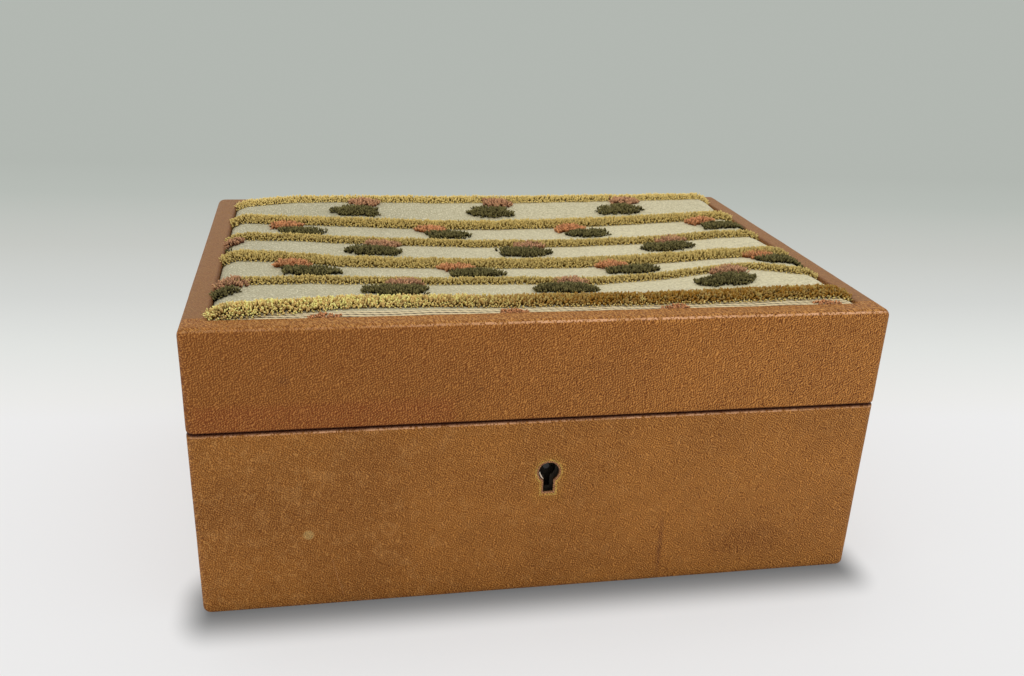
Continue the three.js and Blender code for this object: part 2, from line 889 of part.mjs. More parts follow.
function addLidCarcass(lid) {
  const height = lid_wood_top - lid_wood_rim;
  const shoulder = board_bottom - paste - lid_wood_rim;
  const rebated = (length) =>
    join(mitredWall(length, wall, shoulder), mitredWall(length, wall_lip, height)).translate(
      0,
      0,
      lid_wood_rim,
    );
  const front = cut(
    placedWall("front", rebated),
    selvedgeMortise(lid_rim, lid_rim + selvedge_thickness + lock_fit),
    ...selvedgeScrewHoles(lid_rim, true),
  );
  lid.add(mesh("lid_front_panel", front, pine));
  lid.add(mesh("lid_back_panel", cut(placedWall("back", rebated), ...hingeCutters(true)), pine));
  lid.add(mesh("lid_left_panel", placedWall("left", rebated), pine));
  lid.add(mesh("lid_right_panel", placedWall("right", rebated), pine));
  const board = block(
    carcass_width - 2 * (wall_lip + paste),
    carcass_depth - 2 * (wall_lip + paste),
    board_bottom,
    recess_floor,
  );
  lid.add(mesh("lid_top_board", board, pine));
}

function addLidLeather(lid) {
  const outer = roundedBlock(
    box_width,
    box_depth,
    lid_rim,
    box_height,
    corner_radius,
    rim_edge_radius,
    top_edge_radius,
  );
  const hollow = block(
    box_width - 2 * leather,
    box_depth - 2 * leather,
    lid_rim + leather,
    box_height - leather,
  );
  const mouth = block(inner_width, inner_depth, lid_rim - overrun, lid_rim + wall);
  const lip = block(
    recess_width + 2 * leather,
    recess_length + 2 * leather,
    recess_floor + paste,
    box_height - leather / 2,
  );
  const rings = [{ inset: 0, level: recess_floor - overrun }];
  for (let i = 0; i <= edge_steps; i++) {
    const angle = (Math.PI / 2) * (i / edge_steps);
    rings.push({
      inset: recess_roll_radius * (1 - Math.cos(angle)),
      level: box_height - recess_roll_radius * (1 - Math.sin(angle)),
    });
  }
  rings.push({ inset: recess_roll_radius, level: box_height + overrun });
  const recess = loft(
    rings.map(({ inset, level }) => ({
      width: recess_width + 2 * inset,
      depth: recess_length + 2 * inset,
      radius: recess_roll_radius + inset,
      level,
    })),
  );
  const skin = cut(
    join(cut(outer, hollow), lip),
    recess,
    mouth,
    selvedgeMortise(lid_rim - overrun, lid_rim + selvedge_thickness + lock_fit),
    ...hingeCutters(true),
  );
  lid.add(mesh("lid_leather", skin, tan_leather));
}

// The share of the sag at a point of the brocade panel: 1 where it is deepest, 0 along its edges.
function sagShare(x, y) {
  const u = x / (panel_width / 2) - sag_centre_share;
  const v = y / (panel_depth / 2);
  const across = 1 - (u / (u > 0 ? 1 - sag_centre_share : 1 + sag_centre_share)) ** 2;
  const along = 1 - Math.abs(v) ** (v > 0 ? sag_powers.back : sag_powers.front);
  return Math.max(0, across) ** sag_powers.ends * Math.max(0, along);
}

// 0 below 0, 1 above 1, and a smooth step between.
function ease(share) {
  const inside = Math.min(1, Math.max(0, share));
  return inside * inside * (3 - 2 * inside);
}

// How much higher the padding stands along the back. It dies away towards the left.
function backSwell(x, y) {
  const from_back = panel_depth / 2 - y;
  const from_left = panel_width / 2 + x;
  const towards_back = ease((back_swell_start - from_back) / (back_swell_start - back_swell_end));
  return back_swell * towards_back * ease(from_left / back_swell_fade);
}

function panelGround(x, y) {
  const rise = edgeRoll(x, y, panel_width, panel_depth, pad_roll_width);
  const dx = x - (bulge_place_shares[0] * panel_width) / 2;
  const dy = y - (bulge_place_shares[1] * panel_depth) / 2;
  const bulge = bulge_height * Math.exp(-(dx ** 2 + dy ** 2) / bulge_radius ** 2);
  const shoulder = pad_shoulder - pad_edge + bulge + backSwell(x, y);
  return pad_edge + rise * shoulder - pad_sag * sagShare(x, y);
}

const stripe_room = panel_depth - stripe_widths.front - 2 * stripe_margin;
const stripe_count = 1 + Math.floor(stripe_room / stripe_pitch);
const stripe_profile_shares = [
  [-1, 0],
  [-0.8, 0.75],
  [0, 1],
  [0.8, 0.75],
  [1, 0],
];
const ground_row_shares = [1 / 4, 1 / 2, 3 / 4];

// How the stripes wander, from the front one to the back one: places as shares of half the panel's
// width, and shifts towards the back as shares of the pitch.
const stripe_bend_shares = [
  [[-1, -0.05], [-0.85, 0.02], [-0.57, 0.16], [-0.38, 0.15], [-0.1, 0.08], [0.47, 0.05], [1, 0.07]],
  [[-1, 0], [-0.72, 0.11], [0, 0.08], [0.24, 0.01], [0.58, 0.15], [0.77, 0.11], [0.92, -0.05], [1, -0.07]],
  [[-1, 0.11], [-0.83, 0.09], [-0.61, -0.05], [0.57, -0.07], [1, -0.13]],
  [[-1, 0.04], [-0.8, 0.09], [-0.47, 0.02], [0.19, -0.05], [1, -0.09]],
  [[-1, 0], [-0.57, -0.02], [-0.14, -0.07], [0.28, 0], [1, 0]],
  [[-1, 0], [-0.57, 0.03], [1, 0.03]],
];

// The y of a stripe's middle line at x.
function stripeMiddle(index, x) {
  const bends = stripe_bend_shares[index % stripe_bend_shares.length];
  const place = Math.min(1, x / (panel_width / 2));
  const next = Math.max(1, bends.findIndex(([end]) => end >= place));
  const [from, first] = bends[next - 1];
  const [to, last] = bends[next];
  const shift = first + ((last - first) * (place - from)) / (to - from);
  return (index - (stripe_count - 1) / 2 + shift) * stripe_pitch;
}

// The front stripe is the widest, and behind it narrow and wide ones take turns.
function stripeKind(index) {
  if (index === 0) return "front";
  return index % 2 === 1 ? "narrow" : "wide";
}

// The panel's lines along X, from front to back: each has its y at x, and how high its pile stands.
function panelRows() {
  const rows = [{ y: () => -panel_depth / 2, pile: 0 }];
  for (let index = 0; index < stripe_count; index++) {
    const width = stripe_widths[stripeKind(index)];
    const pile = pile_heights[stripeKind(index)];
    if (index > 0)
      for (const share of ground_row_shares)
        rows.push({
          y: (x) => stripeMiddle(index - 1, x) * (1 - share) + stripeMiddle(index, x) * share,
          pile: 0,
        });
    for (const [across, up] of stripe_profile_shares)
      rows.push({ y: (x) => stripeMiddle(index, x) + (across * width) / 2, pile: up * pile });
  }
  rows.push({ y: () => panel_depth / 2, pile: 0 });
  return rows;
}

function brocadePanel() {
  const xs = padLines(panel_width, panel_cells);
  const rows = panelRows();
  return reliefBlock(xs.length, rows.length, (i, j) => {
    const y = rows[j].y(xs[i]);
    return [xs[i], y, panelGround(xs[i], y) + rows[j].pile];
  });
}

function addLidInside(lid) {
  addLinings(lid, "lid", lid_rim + lining_drop, board_bottom - paste, satin);
  const pad = crownedPad(
    cavity_width - 2 * pad_clearance,
    cavity_depth - 2 * pad_clearance,
    lid_pad_edge,
    lid_pad_crown,
    pad_roll_width,
  );
  const cushion = mesh("lid_inner_pad", pad, satin, 0, 0, board_bottom - paste);
  cushion.rotation.x = Math.PI;
  lid.add(cushion);
}

function addTopPanel(lid) {
  const board = block(panel_width, panel_depth, card_bottom, card_bottom + panel_card);
  lid.add(mesh("top_panel_card", board, card));
  lid.add(mesh("top_brocade", brocadePanel(), brocade, 0, 0, fabric_bottom));
}

// Tray

const tray_width = cavity_width - 2 * tray_clearance;
const tray_depth = cavity_depth - 2 * tray_clearance;
const well_width = tray_width - 2 * tray_wall;
const well_depth = tray_depth - 2 * tray_wall;
const tray_floor_top = tray_bottom + tray_floor;
const rolls_depth = roll_count * (roll_width + roll_gap) + roll_gap;
const long_divider_y = -well_depth / 2 + rolls_depth + divider_thickness / 2;
const back_depth = well_depth - rolls_depth - divider_thickness;

const roll_end_shares = [0, 1 / 4, 1 / 2, 3 / 4, 1];

function ringRoll() {
  const length = well_width - 2 * roll_gap;
  const half = roll_width / 2;
  const ends = roll_end_shares.map((share) => share * roll_end_taper);
  const xs = [...ends.map((e) => -length / 2 + e), ...ends.map((e) => length / 2 - e).reverse()];
  return squarePad(xs, padLines(roll_width, roll_cells), (x, y) => {
    const inside = Math.min(1, (length / 2 - Math.abs(x)) / roll_end_taper);
    const dome = Math.sqrt(Math.max(0, 1 - (y / half) ** 2)) * Math.sqrt(Math.max(0, 1 - (1 - inside) ** 2));
    return roll_edge + (roll_crown - roll_edge) * dome;
  });
}

// A ribbon loop that lifts the tray: two plies and the fold between them, in Y and Z.
function pullTab() {
  const outer = tab_fold / 2 + tab_thickness;
  const shape = new THREE.Shape();
  shape.moveTo(-outer, -tab_depth);
  shape.lineTo(-tab_fold / 2, -tab_depth);
  shape.lineTo(-tab_fold / 2, tab_rise - outer);
  shape.absarc(0, tab_rise - outer, tab_fold / 2, Math.PI, 0, true);
  shape.lineTo(tab_fold / 2, -tab_depth);
  shape.lineTo(outer, -tab_depth);
  shape.lineTo(outer, tab_rise - outer);
  shape.absarc(0, tab_rise - outer, outer, 0, Math.PI, false);
  shape.closePath();
  return standingPlate(shape, tab_width);
}

function addTray(tray) {
  tray.add(mesh("tray_floor", block(tray_width, tray_depth, tray_bottom, tray_floor_top), velvet));
  const frame = cut(
    block(tray_width, tray_depth, tray_floor_top + paste, tray_top),
    block(well_width, well_depth, tray_bottom, tray_top + overrun),
  );
  tray.add(mesh("tray_frame", frame, velvet));
  const divider_bottom = tray_floor_top + paste;
  const divider_top = tray_top - divider_drop;
  const long_divider = block(well_width - 2 * paste, divider_thickness, divider_bottom, divider_top);
  tray.add(mesh("tray_long_divider", long_divider, velvet, 0, long_divider_y));
  const cross_divider = block(divider_thickness, back_depth - 2 * paste, divider_bottom, divider_top);
  const cross_y = well_depth / 2 - back_depth / 2;
  tray.add(mesh("tray_cross_divider", cross_divider, velvet, 0, cross_y));
  for (let i = 0; i < roll_count; i++) {
    const y = -well_depth / 2 + roll_gap + roll_width / 2 + i * (roll_width + roll_gap);
    tray.add(mesh(`ring_roll_${i + 1}`, ringRoll(), velvet, 0, y, divider_bottom));
  }
  for (const [side, sign] of [
    ["left", -1],
    ["right", 1],
  ]) {
    const x = sign * (well_width / 2 - paste - tab_fold / 2 - tab_thickness);
    const tab = mesh(`tray_pull_tab_${side}`, pullTab(), satin, x, cross_y, tray_top);
    tray.add(tab);
  }
}

// Assembly

const base = new THREE.Group();
const bolt = new THREE.Group();
const lid = new THREE.Group();
const tray = new THREE.Group();

addBaseCarcass(base);
addBaseLeather(base);
addBaseInside(base);
addLidCarcass(lid);
addLidLeather(lid);
addLidInside(lid);
addTopPanel(lid);
addHinges(base, lid);
addLock(base, lid, bolt);
addTray(tray);

const jewellery_box = new THREE.Group();
jewellery_box.add(base, bolt, lid, tray);

export default jewellery_box;
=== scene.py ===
# The dressed leather jewelry box: leather covers, brocade panel, linings, tray and hardware, built
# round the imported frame. Lengths are in millimetres in the code below, and MM turns them into metres.
import json
import math
from contextlib import contextmanager
from typing import NamedTuple

import bmesh
import bpy
import numpy as np
from bpy.props import FloatProperty, FloatVectorProperty, IntProperty, PointerProperty
from bpy.types import Operator, Panel, PropertyGroup
from mathutils import Matrix, Vector

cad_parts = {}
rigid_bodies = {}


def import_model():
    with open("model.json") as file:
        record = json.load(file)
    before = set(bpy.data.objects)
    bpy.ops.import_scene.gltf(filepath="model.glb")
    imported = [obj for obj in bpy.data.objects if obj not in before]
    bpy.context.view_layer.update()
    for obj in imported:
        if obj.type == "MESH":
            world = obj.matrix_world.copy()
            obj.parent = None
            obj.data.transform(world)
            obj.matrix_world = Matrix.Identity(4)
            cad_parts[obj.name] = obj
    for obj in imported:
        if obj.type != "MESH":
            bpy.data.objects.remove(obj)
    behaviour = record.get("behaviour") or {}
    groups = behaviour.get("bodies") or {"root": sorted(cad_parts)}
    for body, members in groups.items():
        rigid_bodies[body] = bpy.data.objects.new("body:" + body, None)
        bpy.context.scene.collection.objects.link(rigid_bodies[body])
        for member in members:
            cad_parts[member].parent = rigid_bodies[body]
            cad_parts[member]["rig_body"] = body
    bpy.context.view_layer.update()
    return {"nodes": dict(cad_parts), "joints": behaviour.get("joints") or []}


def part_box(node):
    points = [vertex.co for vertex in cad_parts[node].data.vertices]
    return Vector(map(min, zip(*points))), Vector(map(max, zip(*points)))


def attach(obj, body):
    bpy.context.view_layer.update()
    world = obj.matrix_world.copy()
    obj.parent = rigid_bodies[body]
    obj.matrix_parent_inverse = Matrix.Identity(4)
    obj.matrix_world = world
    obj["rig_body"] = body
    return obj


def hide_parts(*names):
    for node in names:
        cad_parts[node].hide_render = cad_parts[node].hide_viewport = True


bl_info = {
    "name": "Leather Jewelry Box",
    "version": (1, 0, 0),
    "blender": (4, 5, 0),
    "location": "3D View > Sidebar > Jewelry Box",
    "description": "Dresses the frame of a leather jewelry box with leather, brocade, velvet and brass",
    "category": "Object",
}

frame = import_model()
MM = 0.001


# Colours and sizes that a user would change


def srgb(red, green, blue):
    """A linear colour from the 0 to 255 values of a picture."""
    shares = np.array([red, green, blue]) / 255
    return tuple(np.where(shares <= 0.04045, shares / 12.92, ((shares + 0.055) / 1.055) ** 2.4).tolist())


def colour_property(name, description, default):
    return FloatVectorProperty(
        name=name, description=description, default=default, size=3, min=0, max=1, subtype="COLOR"
    )


def length_property(name, description, millimetres):
    return FloatProperty(
        name=name, description=description, default=millimetres * MM, min=0, subtype="DISTANCE", unit="LENGTH"
    )


class BoxColours(PropertyGroup):
    """The colours of the box's own finishes."""

    leather: colour_property("Leather", "Tan of the smooth leather", srgb(184, 119, 48))
    # Also the colour of the painted shade that darkens the leather towards the left.
    leather_blotch_and_shade: colour_property("Leather shade", "Tan in the darker blotches", srgb(131, 79, 25))
    leather_red: colour_property("Leather red", "Redder tan of the lid", srgb(164, 88, 30))
    leather_border: colour_property("Leather border", "Orange tan of the lid's top edge", srgb(172, 108, 38))
    leather_faded: colour_property("Faded leather", "Mauve brown of the faded edges", srgb(139, 102, 63))
    # Also the colour of the painted highlight along the worn edges.
    leather_worn_and_highlight: colour_property("Worn leather", "Pale edges where the finish has gone", srgb(232, 176, 132))
    # Dark wax in the pores, and also the colour of the painted shade in the grain's valleys.
    leather_grime_and_shade: colour_property("Leather grime", "Dark wax in the seam and pores", srgb(82, 32, 0))
    cream: colour_property("Cream satin", "Ground of the brocade", srgb(216, 205, 163))
    gold: colour_property("Gold pile", "Tips of the pile stripes", srgb(208, 185, 114))
    # The colour of the painted shade at the stripes' roots.
    gold_root_shade: colour_property("Deep gold pile", "Roots and darker tufts of the stripes", srgb(122, 92, 32))
    gold_brown: colour_property("Brown gold pile", "Browner part of the front stripe", srgb(156, 104, 6))
    gold_front: colour_property("Front gold pile", "Tips of the brighter front stripe", srgb(240, 206, 130))
    leaf: colour_property("Leaf pile", "Green clumps of the sprigs", srgb(112, 104, 63))
    mauve: colour_property("Mauve pile", "Mauve buds of the sprigs", srgb(188, 144, 108))
    coral: colour_property("Coral pile", "Coral buds of the sprigs", srgb(204, 146, 100))
    velvet: colour_property("Velvet", "Lining of the base and tray", srgb(104, 28, 40))
    satin: colour_property("Lining satin", "Lining of the lid", srgb(206, 186, 142))
    brass: colour_property("Brass", "Hinges and link plate", srgb(196, 160, 92))


class BoxSizes(PropertyGroup):
    """The sizes that shape the box's finishes."""

    strand_radius: length_property("Strand radius", "Half the thickness of one strand of pile", 0.32)
    yarn_pitch: length_property("Yarn pitch", "Distance from one tuft of strands to the next", 0.9)
    row_pitch: length_property("Row pitch", "Distance between the rows of tufts in a stripe", 0.82)
    leather_wave: length_property("Leather wave", "How far the leather swells over its boards", 0.07)
    grain_pitch: length_property("Grain pitch", "Distance between the pebbles of the grain", 0.88)
    cell: length_property("Cloth cell", "Spacing of the brocade ground's own points", 0.9)
    seed: IntProperty(name="Seed", description="Start of the random draws", default=11, min=0)


def colours():
    return bpy.context.scene.jewelry_box_colours


def sizes():
    return bpy.context.scene.jewelry_box_sizes


def millimetres(length):
    return length / MM


# Shader expressions


class Wire:
    """One output socket, on which arithmetic adds Math nodes."""

    def __init__(self, shade, socket):
        self.shade = shade
        self.socket = socket

    def math(self, operation, *values):
        return self.shade.node("ShaderNodeMath", {"operation": operation}, dict(enumerate(values)))

    def __add__(self, other):
        return self.math("ADD", self, other)

    __radd__ = __add__

    def __sub__(self, other):
        return self.math("SUBTRACT", self, other)

    def __rsub__(self, other):
        return self.math("SUBTRACT", other, self)

    def __mul__(self, other):
        return self.math("MULTIPLY", self, other)

    __rmul__ = __mul__

    def __truediv__(self, other):
        return self.math("DIVIDE", self, other)

    def __rtruediv__(self, other):
        return self.math("DIVIDE", other, self)

    def __neg__(self):
        return self.math("MULTIPLY", self, -1)

    def __abs__(self):
        return self.math("ABSOLUTE", self)

    def root(self):
        return self.math("SQRT", self)

    def sine(self):
        return self.math("SINE", self)

    def least(self, other):
        return self.math("MINIMUM", self, other)

    def most(self, other):
        return self.math("MAXIMUM", self, other)

    def ramp(self, low, high):
        """0 at low and 1 at high, with soft ends."""
        settings = {"interpolation_type": "SMOOTHSTEP"}
        inputs = {"Value": self, "From Min": low, "From Max": high}
        return self.shade.node("ShaderNodeMapRange", settings, inputs)

    def band(self, low, high, soft):
        """1 between low and high, falling to 0 over soft on both sides."""
        return self.ramp(low - soft, low) * (1 - self.ramp(high, high + soft))


class Shade:
    """A material whose nodes are added by expressions. Lengths are in millimetres."""

    def __init__(self, name):
        self.material = bpy.data.materials.new(name)
        self.material.use_nodes = True
        self.tree = self.material.node_tree
        self.tree.nodes.clear()
        place = self.node("ShaderNodeTexCoord", {}, {}, "Object")
        self.place = self.node("ShaderNodeVectorMath", {"operation": "SCALE"}, {0: place, "Scale": 1 / MM})
        split = self.node("ShaderNodeSeparateXYZ", {}, {0: self.place}, "X")
        self.x = split
        self.y = Wire(self, split.socket.node.outputs["Y"])
        self.z = Wire(self, split.socket.node.outputs["Z"])

    def node(self, kind, settings, inputs, output=0):
        """Adds a node: its settings first, then its sockets, and gives one output."""
        made = self.tree.nodes.new(kind)
        for name, value in settings.items():
            if name == "stops":
                set_stops(made.color_ramp, value)
            else:
                setattr(made, name, value)
        for key, value in inputs.items():
            if isinstance(value, Wire):
                self.tree.links.new(value.socket, made.inputs[key])
            else:
                made.inputs[key].default_value = value
        return None if output is None else Wire(self, made.outputs[output])

    def stretched(self, x, y, z):
        """The place with each axis scaled, for grain that runs one way."""
        return self.node("ShaderNodeVectorMath", {"operation": "MULTIPLY"}, {0: self.place, 1: (x, y, z)})

    def noise(self, size, detail=2, roughness=0.5, place=None, distortion=0):
        """Soft noise from 0 to 1, with features of that size."""
        inputs = {
            "Vector": place or self.place,
            "Scale": 1 / size,
            "Detail": detail,
            "Roughness": roughness,
            "Distortion": distortion,
        }
        return self.node("ShaderNodeTexNoise", {}, inputs)

    def mix(self, factor, first, second):
        """Two colours mixed: first at factor 0, second at factor 1."""
        first_socket, second_socket, result = 6, 7, 2
        inputs = {0: factor, first_socket: with_alpha(first), second_socket: with_alpha(second)}
        return self.node("ShaderNodeMix", {"data_type": "RGBA", "clamp_factor": True}, inputs, result)

    def attribute(self, name):
        return self.node("ShaderNodeAttribute", {"attribute_name": name}, {}, "Fac")

    def chance(self):
        """One random value for each separate island of the mesh."""
        return self.node("ShaderNodeNewGeometry", {}, {}, "Random Per Island")

    def bump(self, height, depth, strength=1.0):
        """A normal that stands up by depth where height is 1."""
        inputs = {"Height": height, "Distance": depth * MM, "Strength": strength}
        return self.node("ShaderNodeBump", {}, inputs)

    def surface(self, colour, roughness, normal=None, metallic=0.0, **fixed):
        """The surface shader. Sockets in fixed hold one value all over."""
        inputs = {"Base Color": with_alpha(colour), "Roughness": roughness, "Metallic": metallic}
        if normal is not None:
            inputs["Normal"] = normal
        for name, value in fixed.items():
            inputs[name.replace("_", " ").title().replace("Ior", "IOR")] = value
        return self.node("ShaderNodeBsdfPrincipled", {}, inputs)

    def close(self, shader):
        """Ends the material in that shader."""
        self.node("ShaderNodeOutputMaterial", {}, {"Surface": shader}, None)
        return self.material

    def finish(self, colour, roughness, normal=None, metallic=0.0, **fixed):
        return self.close(self.surface(colour, roughness, normal, metallic, **fixed))


def set_stops(ramp, stops):
    """Gives a colour ramp its stops, each a place from 0 to 1 and a colour."""
    while len(ramp.elements) < len(stops):
        ramp.elements.new(1)
    for element, (place, colour) in zip(ramp.elements, stops):
        element.position = place
        element.color = with_alpha(colour)


def with_alpha(colour):
    """A plain colour with the alpha that colour sockets want; a wire passes through."""
    return colour if isinstance(colour, Wire) else (*tuple(colour)[:3], 1.0)


def ellipse_mask(across, along, centre, reach, soft):
    """1 inside an ellipse on two coordinates, with a soft rim."""
    u = (across - centre[0]) / reach[0]
    v = (along - centre[1]) / reach[1]
    return 1 - (u * u + v * v).root().ramp(1 - soft, 1 + soft)


# Sums that work on wires and on arrays alike


def sine(value):
    return value.sine() if isinstance(value, Wire) else np.sin(value)


def root(value):
    return value.root() if isinstance(value, Wire) else np.sqrt(value)


def least(first, second):
    return first.least(second) if isinstance(first, Wire) else np.minimum(first, second)


def most(first, second):
    return first.most(second) if isinstance(first, Wire) else np.maximum(first, second)


def wave(coordinate, pitch):
    """A wave from -1 to 1 along a coordinate, whose crests lie a pitch apart."""
    return sine(coordinate * (2 * math.pi / pitch))


# Points and meshes


def node_box(name):
    """Lowest and highest corner of a frame node, in millimetres."""
    low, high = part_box(name)
    return np.array(low) / MM, np.array(high) / MM


def ease(share):
    """0 below 0, 1 above 1, and a smooth step between."""
    share = np.clip(share, 0, 1)
    return share * share * (3 - 2 * share)


def swell(points, size, seed):
    """Smooth noise from -1 to 1 over points, with swells of that size."""
    table_size = 24
    table = np.random.default_rng(seed).uniform(-1, 1, (table_size,) * 3)
    cell = np.asarray(points, float) / size
    low = np.floor(cell).astype(int)
    share = ease(cell - low)
    total = np.zeros(len(cell))
    for corner in np.ndindex(2, 2, 2):
        step = np.array(corner)
        at = (low + step) % table_size
        weight = np.where(step == 1, share, 1 - share).prod(1)
        total += weight * table[at[:, 0], at[:, 1], at[:, 2]]
    return total


def add_object(name, data):
    """A new object in the scene that shows that mesh, camera or lamp."""
    made = bpy.data.objects.new(name, data)
    bpy.context.scene.collection.objects.link(made)
    return made


def smooth_faces(mesh):
    mesh.polygons.foreach_set("use_smooth", [True] * len(mesh.polygons))


def new_mesh(name, points, faces, material):
    """A smooth mesh of one material, from points in millimetres."""
    mesh = bpy.data.meshes.new(name)
    mesh.from_pydata((np.asarray(points, float) * MM).tolist(), [], faces)
    smooth_faces(mesh)
    mesh.materials.append(material)
    return mesh


@contextmanager
def edited(mesh):
    """A mesh opened for edits, which are written back at the end."""
    work = bmesh.new()
    work.from_mesh(mesh)
    yield work
    work.to_mesh(mesh)
    work.free()


def make_piece(name, points, faces, material):
    """A smooth piece in the scene with its faces turned outwards, from points in millimetres."""
    mesh = new_mesh(name, points, [list(face) for face in faces], material)
    with edited(mesh) as work:
        bmesh.ops.recalc_face_normals(work, faces=work.faces)
    return add_object(name, mesh)


def dress(mesh, material):
    """Gives a mesh that material and no other."""
    mesh.materials.clear()
    mesh.materials.append(material)


def settle(piece, body, slot, *nodes):
    """Puts a finished piece on its body, in place of the frame nodes it stands for."""
    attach(piece, body)
    if nodes:
        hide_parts(*nodes)
    return piece


def grid_faces(rows, columns, start=0, wrap_rows=False, wrap_columns=False):
    """Quads over a grid of points numbered row by row."""
    r = np.arange(rows if wrap_rows else rows - 1)[:, None]
    c = np.arange(columns if wrap_columns else columns - 1)[None, :]
    next_r = (r + 1) % rows
    next_c = (c + 1) % columns
    corners = [r * columns + c, r * columns + next_c, next_r * columns + next_c, next_r * columns + c]
    return np.stack([np.broadcast_to(k, (r.size, c.size)).ravel() for k in corners], 1) + start


def tube_faces(rings, sides):
    """Faces of a row of rings of points, with a cap on both ends."""
    caps = [list(range(sides)), [(rings - 1) * sides + k for k in range(sides - 1, -1, -1)]]
    return [*grid_faces(rings, sides, wrap_columns=True).tolist(), *caps]


def rim_indices(rows, columns):
    """Indices round the edge of a grid of points, in order."""
    front = list(range(columns))
    right = [r * columns + columns - 1 for r in range(1, rows)]
    back = [(rows - 1) * columns + c for c in range(columns - 2, -1, -1)]
    left = [r * columns for r in range(rows - 2, 0, -1)]
    return front + right + back + left


def sewn_faces(first, second):
    """Quads between two closed rows of points, given by their indices."""
    following = [*range(1, len(first)), 0]
    return [(first[k], second[k], second[n], first[n]) for k, n in enumerate(following)]


def two_sided_faces(rows, columns):
    """Faces of two equal grids of points, back to back, sewn together round their rims."""
    grid = grid_faces(rows, columns)
    count = rows * columns
    rim = rim_indices(rows, columns)
    seam = sewn_faces(rim, [index + count for index in rim])
    return [*grid.tolist(), *(grid[:, ::-1] + count).tolist(), *seam]


def mesh_points(mesh):
    points = np.empty(len(mesh.vertices) * 3)
    mesh.vertices.foreach_get("co", points)
    return points.reshape(-1, 3) / MM


def set_mesh_points(mesh, points):
    mesh.vertices.foreach_set("co", (np.asarray(points) * MM).ravel())
    mesh.update()


def mesh_normals(mesh):
    normals = np.empty(len(mesh.vertices) * 3)
    mesh.vertices.foreach_get("normal", normals)
    return normals.reshape(-1, 3)


def apply_modifiers(piece):
    """Bakes a piece's modifiers into its mesh."""
    graph = bpy.context.evaluated_depsgraph_get()
    made = bpy.data.meshes.new_from_object(piece.evaluated_get(graph))
    piece.modifiers.clear()
    piece.data = made


def carve(piece, cutter):
    """Cuts another closed mesh out of a piece and removes the cutter."""
    modifier = piece.modifiers.new("carve", "BOOLEAN")
    modifier.operation = "DIFFERENCE"
    modifier.solver = "EXACT"
    modifier.object = cutter
    dress(cutter.data, piece.data.materials[0])
    apply_modifiers(piece)
    bpy.data.objects.remove(cutter)


def block_cutter(low, high):
    """A plain block from one corner to the other, to be cut out of a piece."""
    points = [np.where(is_high, high, low) for is_high in np.ndindex(2, 2, 2)]
    faces = [(0, 1, 3, 2), (4, 6, 7, 5), (0, 4, 5, 1), (2, 3, 7, 6), (0, 2, 6, 4), (1, 5, 7, 3)]
    return make_piece("cutter", points, faces, None)


def prism_cutter(outline, start, end, axis):
    """A prism of a closed outline on the two other axes, from start to end along one axis."""
    outline = np.asarray(outline, float)
    ends = [np.insert(outline, axis, level, axis=1) for level in (start, end)]
    return make_piece("cutter", np.vstack(ends), tube_faces(2, len(outline)), None)


def circle(radius, centre, count=32):
    turn = np.linspace(0, 2 * math.pi, count, endpoint=False)
    return np.stack([centre[0] + radius * np.cos(turn), centre[1] + radius * np.sin(turn)], 1)


def ring_round(width, depth, corner, inset, spacing):
    """Points round a rectangle with round corners, drawn in by an inset, in the same number each time."""
    corner_steps = 7
    least_radius = 0.1
    radius = max(corner - inset, least_radius)
    across = width / 2 - inset - radius
    along = depth / 2 - inset - radius
    arcs = []
    for quarter, (side_x, side_y) in enumerate([(1, -1), (1, 1), (-1, 1), (-1, -1)]):
        turn = math.pi / 2 * (quarter - 1) + np.linspace(0, math.pi / 2, corner_steps + 1)
        x, y = side_x * across + radius * np.cos(turn), side_y * along + radius * np.sin(turn)
        arcs.append(np.stack([x, y], 1))
    points = []
    for quarter, arc in enumerate(arcs):
        goal = arcs[(quarter + 1) % len(arcs)][0]
        side = (depth, width)[quarter % 2]
        share = np.linspace(0, 1, int(side / spacing) + 1, endpoint=False)[1:, None]
        points += [arc, arc[-1] * (1 - share) + goal * share]
    return np.vstack(points)


def swept_ring(name, width, depth, corner, profile, spacing, material):
    """A closed profile of (inset, level) points, swept round a rectangle with round corners."""
    rings = []
    for inset, level in profile:
        ring = ring_round(width, depth, corner, inset, spacing)
        rings.append(np.column_stack([ring, np.full(len(ring), level)]))
    faces = grid_faces(len(rings), len(rings[0]), wrap_rows=True, wrap_columns=True)
    return make_piece(name, np.vstack(rings), faces, material)


def stepped(corners, spacing):
    """A polyline with extra points, so that no step is longer than spacing."""
    points = []
    for a, b in zip(corners, corners[1:]):
        a, b = np.array(a, float), np.array(b, float)
        count = max(1, math.ceil(np.linalg.norm(b - a) / spacing))
        points += [tuple(a + (b - a) * k / count) for k in range(count)]
    return [*points, tuple(corners[-1])]


def quarter_arc(centre, radius, start_degrees, end_degrees, count=5):
    turn = np.radians(np.linspace(start_degrees, end_degrees, count))
    return [(centre[0] + radius * math.cos(t), centre[1] + radius * math.sin(t)) for t in turn]


# Frame values that several pieces share

